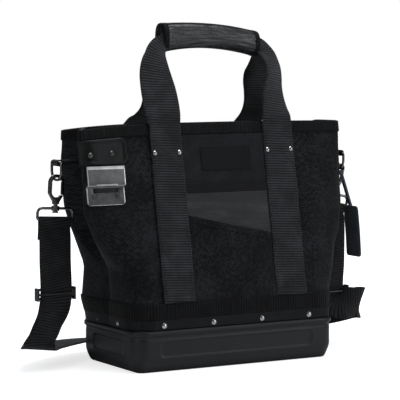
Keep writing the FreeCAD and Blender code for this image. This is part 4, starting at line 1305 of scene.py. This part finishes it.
def makeStitchTree():
    tree = bpy.data.node_groups.new("stitchRun", "GeometryNodeTree")
    tree.interface.new_socket(name="Geometry", in_out="INPUT", socket_type="NodeSocketGeometry")
    for title in ("Pitch", "Length", "Radius"):
        socket = tree.interface.new_socket(name=title, in_out="INPUT", socket_type="NodeSocketFloat")
        socket.default_value = stitchShape[title.lower()] * mm
    tree.interface.new_socket(name="Thread", in_out="INPUT", socket_type="NodeSocketMaterial")
    tree.interface.new_socket(name="Geometry", in_out="OUTPUT", socket_type="NodeSocketGeometry")
    start = tree.nodes.new("NodeGroupInput")
    end = tree.nodes.new("NodeGroupOutput")
    curve = tree.nodes.new("GeometryNodeMeshToCurve")
    resample = tree.nodes.new("GeometryNodeResampleCurve")
    resample.mode = "LENGTH"
    tangent = tree.nodes.new("GeometryNodeInputTangent")
    turn = tree.nodes.new("FunctionNodeAlignRotationToVector")
    turn.axis = "Z"
    thread = tree.nodes.new("GeometryNodeMeshCone")
    thread.inputs["Vertices"].default_value = stitchShape["sides"]
    thread.inputs["Side Segments"].default_value = 1
    instance = tree.nodes.new("GeometryNodeInstanceOnPoints")
    realize = tree.nodes.new("GeometryNodeRealizeInstances")
    paint = tree.nodes.new("GeometryNodeSetMaterial")
    shift = tree.nodes.new("GeometryNodeTransform")
    flip = tree.nodes.new("GeometryNodeTransform")
    flip.inputs["Rotation"].default_value = (math.pi, 0, 0)
    both = tree.nodes.new("GeometryNodeJoinGeometry")
    link = tree.links.new
    link(start.outputs["Geometry"], curve.inputs["Mesh"])
    link(curve.outputs["Curve"], resample.inputs["Curve"])
    link(start.outputs["Pitch"], resample.inputs["Length"])
    link(resample.outputs["Curve"], instance.inputs["Points"])
    link(tangent.outputs[0], turn.inputs["Vector"])
    link(turn.outputs[0], instance.inputs["Rotation"])
    link(start.outputs["Radius"], thread.inputs["Radius Bottom"])
    link(mathNode(tree, "MULTIPLY", start.outputs["Radius"], 0.45), thread.inputs["Radius Top"])
    link(mathNode(tree, "MULTIPLY", start.outputs["Length"], 0.5), thread.inputs["Depth"])
    link(thread.outputs["Mesh"], shift.inputs["Geometry"])
    link(shift.outputs[0], both.inputs[0])
    link(shift.outputs[0], flip.inputs["Geometry"])
    link(flip.outputs[0], both.inputs[0])
    link(both.outputs[0], instance.inputs["Instance"])
    link(instance.outputs[0], realize.inputs[0])
    link(realize.outputs[0], paint.inputs["Geometry"])
    link(start.outputs["Thread"], paint.inputs["Material"])
    link(paint.outputs[0], end.inputs["Geometry"])
    return tree


stitchTree = makeStitchTree()


def sew(name, lines, body, slotName):
    # stitches along every line, made as one plain mesh for the body they ride on
    verts, edges = [], []
    for line in lines:
        first = len(verts)
        verts += [tuple(p) for p in line]
        edges += [(first + k, first + k + 1) for k in range(len(line) - 1)]
    mesh = bpy.data.meshes.new(name)
    mesh.from_pydata(verts, edges, [])
    obj = bpy.data.objects.new(name, mesh)
    bpy.context.scene.collection.objects.link(obj)
    modifier = obj.modifiers.new("Stitches", "NODES")
    modifier.node_group = stitchTree
    for item in stitchTree.interface.items_tree:
        if item.item_type == "SOCKET" and item.in_out == "INPUT":
            if item.name == "Thread":
                modifier[item.identifier] = threadYarn
            elif item.name.lower() in stitchShape:
                modifier[item.identifier] = stitchShape[item.name.lower()] * mm
    applyModifiers(obj)
    outwards(obj)
    for poly in obj.data.polygons:
        poly.use_smooth = True
    finishPiece(obj, threadYarn, body, slotName)
    print(name, len(obj.data.polygons), "faces")


def panelLine(x0, z0, x1, z1, off, side=-1, lift=None):
    count = max(2, int(math.hypot(x1 - x0, z1 - z0) / 5))
    out = []
    for k in range(count + 1):
        x = blendTo(x0, x1, k / count)
        z = blendTo(z0, z1, k / count)
        out.append(panel(x, z, off + (lift(x, z) if lift else 0.0), side))
    return out


def skinLine(z, off):
    return [skin(i, z, off) for i in range(skinColumns)] + [skin(0, z, off)]


# the strap runs' stitching: two long lines, four cross lines and the crossed box at the top
strapStitchShape = {"centres": (-96.0, 92.0), "inset": 21.8, "crossInset": 21.0, "low": 100.0,
                    "cross": (101, 108), "box": (288, 326), "off": 3.9}


def strapStitches(side):
    settings = strapStitchShape
    off, inset, reach = settings["off"], settings["inset"], settings["crossInset"]
    boxLow, boxHigh = settings["box"]
    lines = []
    for centre in settings["centres"]:
        left, right = centre - reach, centre + reach
        for x in (centre - inset, centre + inset):
            lines.append(panelLine(x, settings["low"], x, boxHigh, off, side))
        for z in settings["cross"] + settings["box"]:
            lines.append(panelLine(left, z, right, z, off, side))
        lines.append(panelLine(left, boxLow, right, boxHigh, off, side))
        lines.append(panelLine(left, boxHigh, right, boxLow, off, side))
    return lines


def frontStitches():
    settings = frontShape
    left, right = settings["left"] + 1.5, settings["right"] - 1.5
    lines = [panelLine(left, settings["facing"][0] + 3.5, right, settings["facing"][0] + 3.5, 1.5)]
    for z in (settings["binding"][0] + 1.8, settings["binding"][1] - 2.0):
        lines.append(panelLine(left, z, right, z, 2.3))
    for drop in (2.4, 7.2):
        line = []
        for k in range(41):
            x = left + (right - left) * k / 40
            z = pocketEdge(x) - drop
            line.append(panel(x, z, 2.65 + pocketLift(x, z, 1.0)))
        lines.append(line)
    labelLeft, labelRight, low, high = settings["label"]
    inset = 1.8
    corners = [(labelLeft + inset, low + inset), (labelRight - inset, low + inset),
               (labelRight - inset, high - inset), (labelLeft + inset, high - inset)]
    for one, two in zip(corners, corners[1:] + corners[:1]):
        lines.append(panelLine(*one, *two, 2.25))
    return lines


def clipStitches():
    # round the flap's free edges: along the top, down the right and back along the foot
    top = [(-228, 328.5)] + [(-225 + 4 * k, 328.8) for k in range(14)] + [(-166.5, 326), (-164, 321)]
    right = [(-164, 321 - 3 * k) for k in range(7)] + [(-165, 299.5), (-169, 296.5)]
    foot = [(-169 - 4 * k, 296.2) for k in range(15)]
    return [[clipPlace(x, z, 5.2) for x, z in path] for path in (top, right, foot)]


def gripStitches(side):
    left, right = gripShape["left"], gripShape["right"]
    lines = []
    for x in (left + 2.2, left + 6.6, right - 6.6, right - 2.2):
        lines.append([gripPoint(x, math.radians(-80 + 5 * k), side, 2.05, False) for k in range(33)])
    for degrees in (-59, 59):
        lines.append([gripPoint(left + 9 + k * 5, math.radians(degrees), side, 1.75, False)
                      for k in range(30)])
    return lines


# hem and rim stitching round the skin, as height and stand-off
skinStitches = [(77.0, 1.6), (94.6, 1.6), (335.4, 1.7)]
sew("bag_stitches",
    strapStitches(-1) + strapStitches(1) + frontStitches() + [skinLine(*run) for run in skinStitches],
    "bag", "canvas")
sew("clip_stitches", clipStitches(), "bag", "leather")
for side, word in ((-1, "front"), (1, "back")):
    sew("grip_" + word + "_stitches", gripStitches(side), word + "_handle", "leather")
print("stitching made")


# stage: near white to the eye, fully white further out, without lighting the bag
stageSettings = {"half": 6.0, "glowFrom": 0.3, "glowTo": 1.1, "floorGlow": 0.72, "roomLight": 0.10}


def makeFloor():
    half = stageSettings["half"]
    floorMesh = bpy.data.meshes.new("floorPlane")
    floorMesh.from_pydata([(-half, -half, 0), (half, -half, 0), (half, half, 0), (-half, half, 0)], [],
                          [(0, 1, 2, 3)])
    floor = bpy.data.objects.new("floor", floorMesh)
    bpy.context.scene.collection.objects.link(floor)
    material, tree, principled, coords = startMaterial("paleFloor",
                                                       {"Roughness": 0.9, "Specular IOR Level": 0.1})
    principled.inputs["Base Color"].default_value = (0.86, 0.87, 0.89, 1)
    principled.inputs["Emission Color"].default_value = (1, 1, 1, 1)
    seen = tree.nodes.new("ShaderNodeLightPath")
    away = tree.nodes.new("ShaderNodeVectorMath")
    away.operation = "LENGTH"
    tree.links.new(coords.outputs["Object"], away.inputs[0])
    level = tree.nodes.new("ShaderNodeMapRange")
    level.inputs["From Min"].default_value = stageSettings["glowFrom"]
    level.inputs["From Max"].default_value = stageSettings["glowTo"]
    level.inputs["To Min"].default_value = stageSettings["floorGlow"]
    tree.links.new(away.outputs["Value"], level.inputs["Value"])
    glow = mathNode(tree, "MULTIPLY", seen.outputs["Is Camera Ray"], level.outputs[0])
    tree.links.new(glow, principled.inputs["Emission Strength"])
    floorMesh.materials.append(material)


def makeRoom():
    # dim light from all round, and plain white where the camera looks past the floor
    world = bpy.data.worlds.new("studio")
    bpy.context.scene.world = world
    world.use_nodes = True
    tree = world.node_tree
    background = tree.nodes["Background"]
    background.inputs["Color"].default_value = (1, 1, 1, 1)
    path = tree.nodes.new("ShaderNodeLightPath")
    level = tree.nodes.new("ShaderNodeMapRange")
    level.inputs["To Min"].default_value = stageSettings["roomLight"]
    level.inputs["To Max"].default_value = 1.0
    tree.links.new(path.outputs["Is Camera Ray"], level.inputs["Value"])
    tree.links.new(level.outputs[0], background.inputs["Strength"])


# where each light stands, where it points, its width and height in metres, and its power
lightSettings = {
    "softTop": {"place": (0.25, -0.35, 2.2), "aim": (0, 0, 0.25), "size": (1.5, 1.0), "power": 24},
    "softLeft": {"place": (-2.4, -0.9, 1.0), "aim": (0, 0, 0.25), "size": (1.0, 1.4), "power": 9},
    "softRight": {"place": (1.7, -2.1, 1.0), "aim": (0.05, 0, 0.28), "size": (0.9, 1.4), "power": 17},
    "rimBack": {"place": (0.6, 2.0, 1.5), "aim": (0, 0, 0.3), "size": (1.4, 0.9), "power": 10}}
lightColour = (0.95, 0.97, 1)


def areaLight(name, place, aim, size, power):
    lamp = bpy.data.lights.new(name, "AREA")
    lamp.shape = "RECTANGLE"
    lamp.size, lamp.size_y = size
    lamp.energy = power
    lamp.color = lightColour
    obj = bpy.data.objects.new(name, lamp)
    bpy.context.scene.collection.objects.link(obj)
    obj.location = place
    obj.rotation_euler = (Vector(aim) - Vector(place)).to_track_quat("-Z", "Y").to_euler()


cameraSettings = {"eye": (-1.4847, -2.5414, 0.4696), "azimuth": 30.06, "down": 4.58, "lens": 180.8,
                  "sensor": 36}


def makeCamera():
    camera = bpy.data.objects.new("camera", bpy.data.cameras.new("camera"))
    bpy.context.scene.collection.objects.link(camera)
    camera.data.lens = cameraSettings["lens"]
    camera.data.sensor_width = cameraSettings["sensor"]
    camera.location = cameraSettings["eye"]
    heading, dip = math.radians(cameraSettings["azimuth"]), math.radians(cameraSettings["down"])
    look = Vector((math.sin(heading) * math.cos(dip), math.cos(heading) * math.cos(dip), -math.sin(dip)))
    camera.rotation_euler = look.to_track_quat("-Z", "Y").to_euler()
    bpy.context.scene.camera = camera


makeFloor()
makeRoom()
for name, settings in lightSettings.items():
    areaLight(name, **settings)
makeCamera()
bpy.context.scene.view_settings.view_transform = "Standard"
print("stage set")
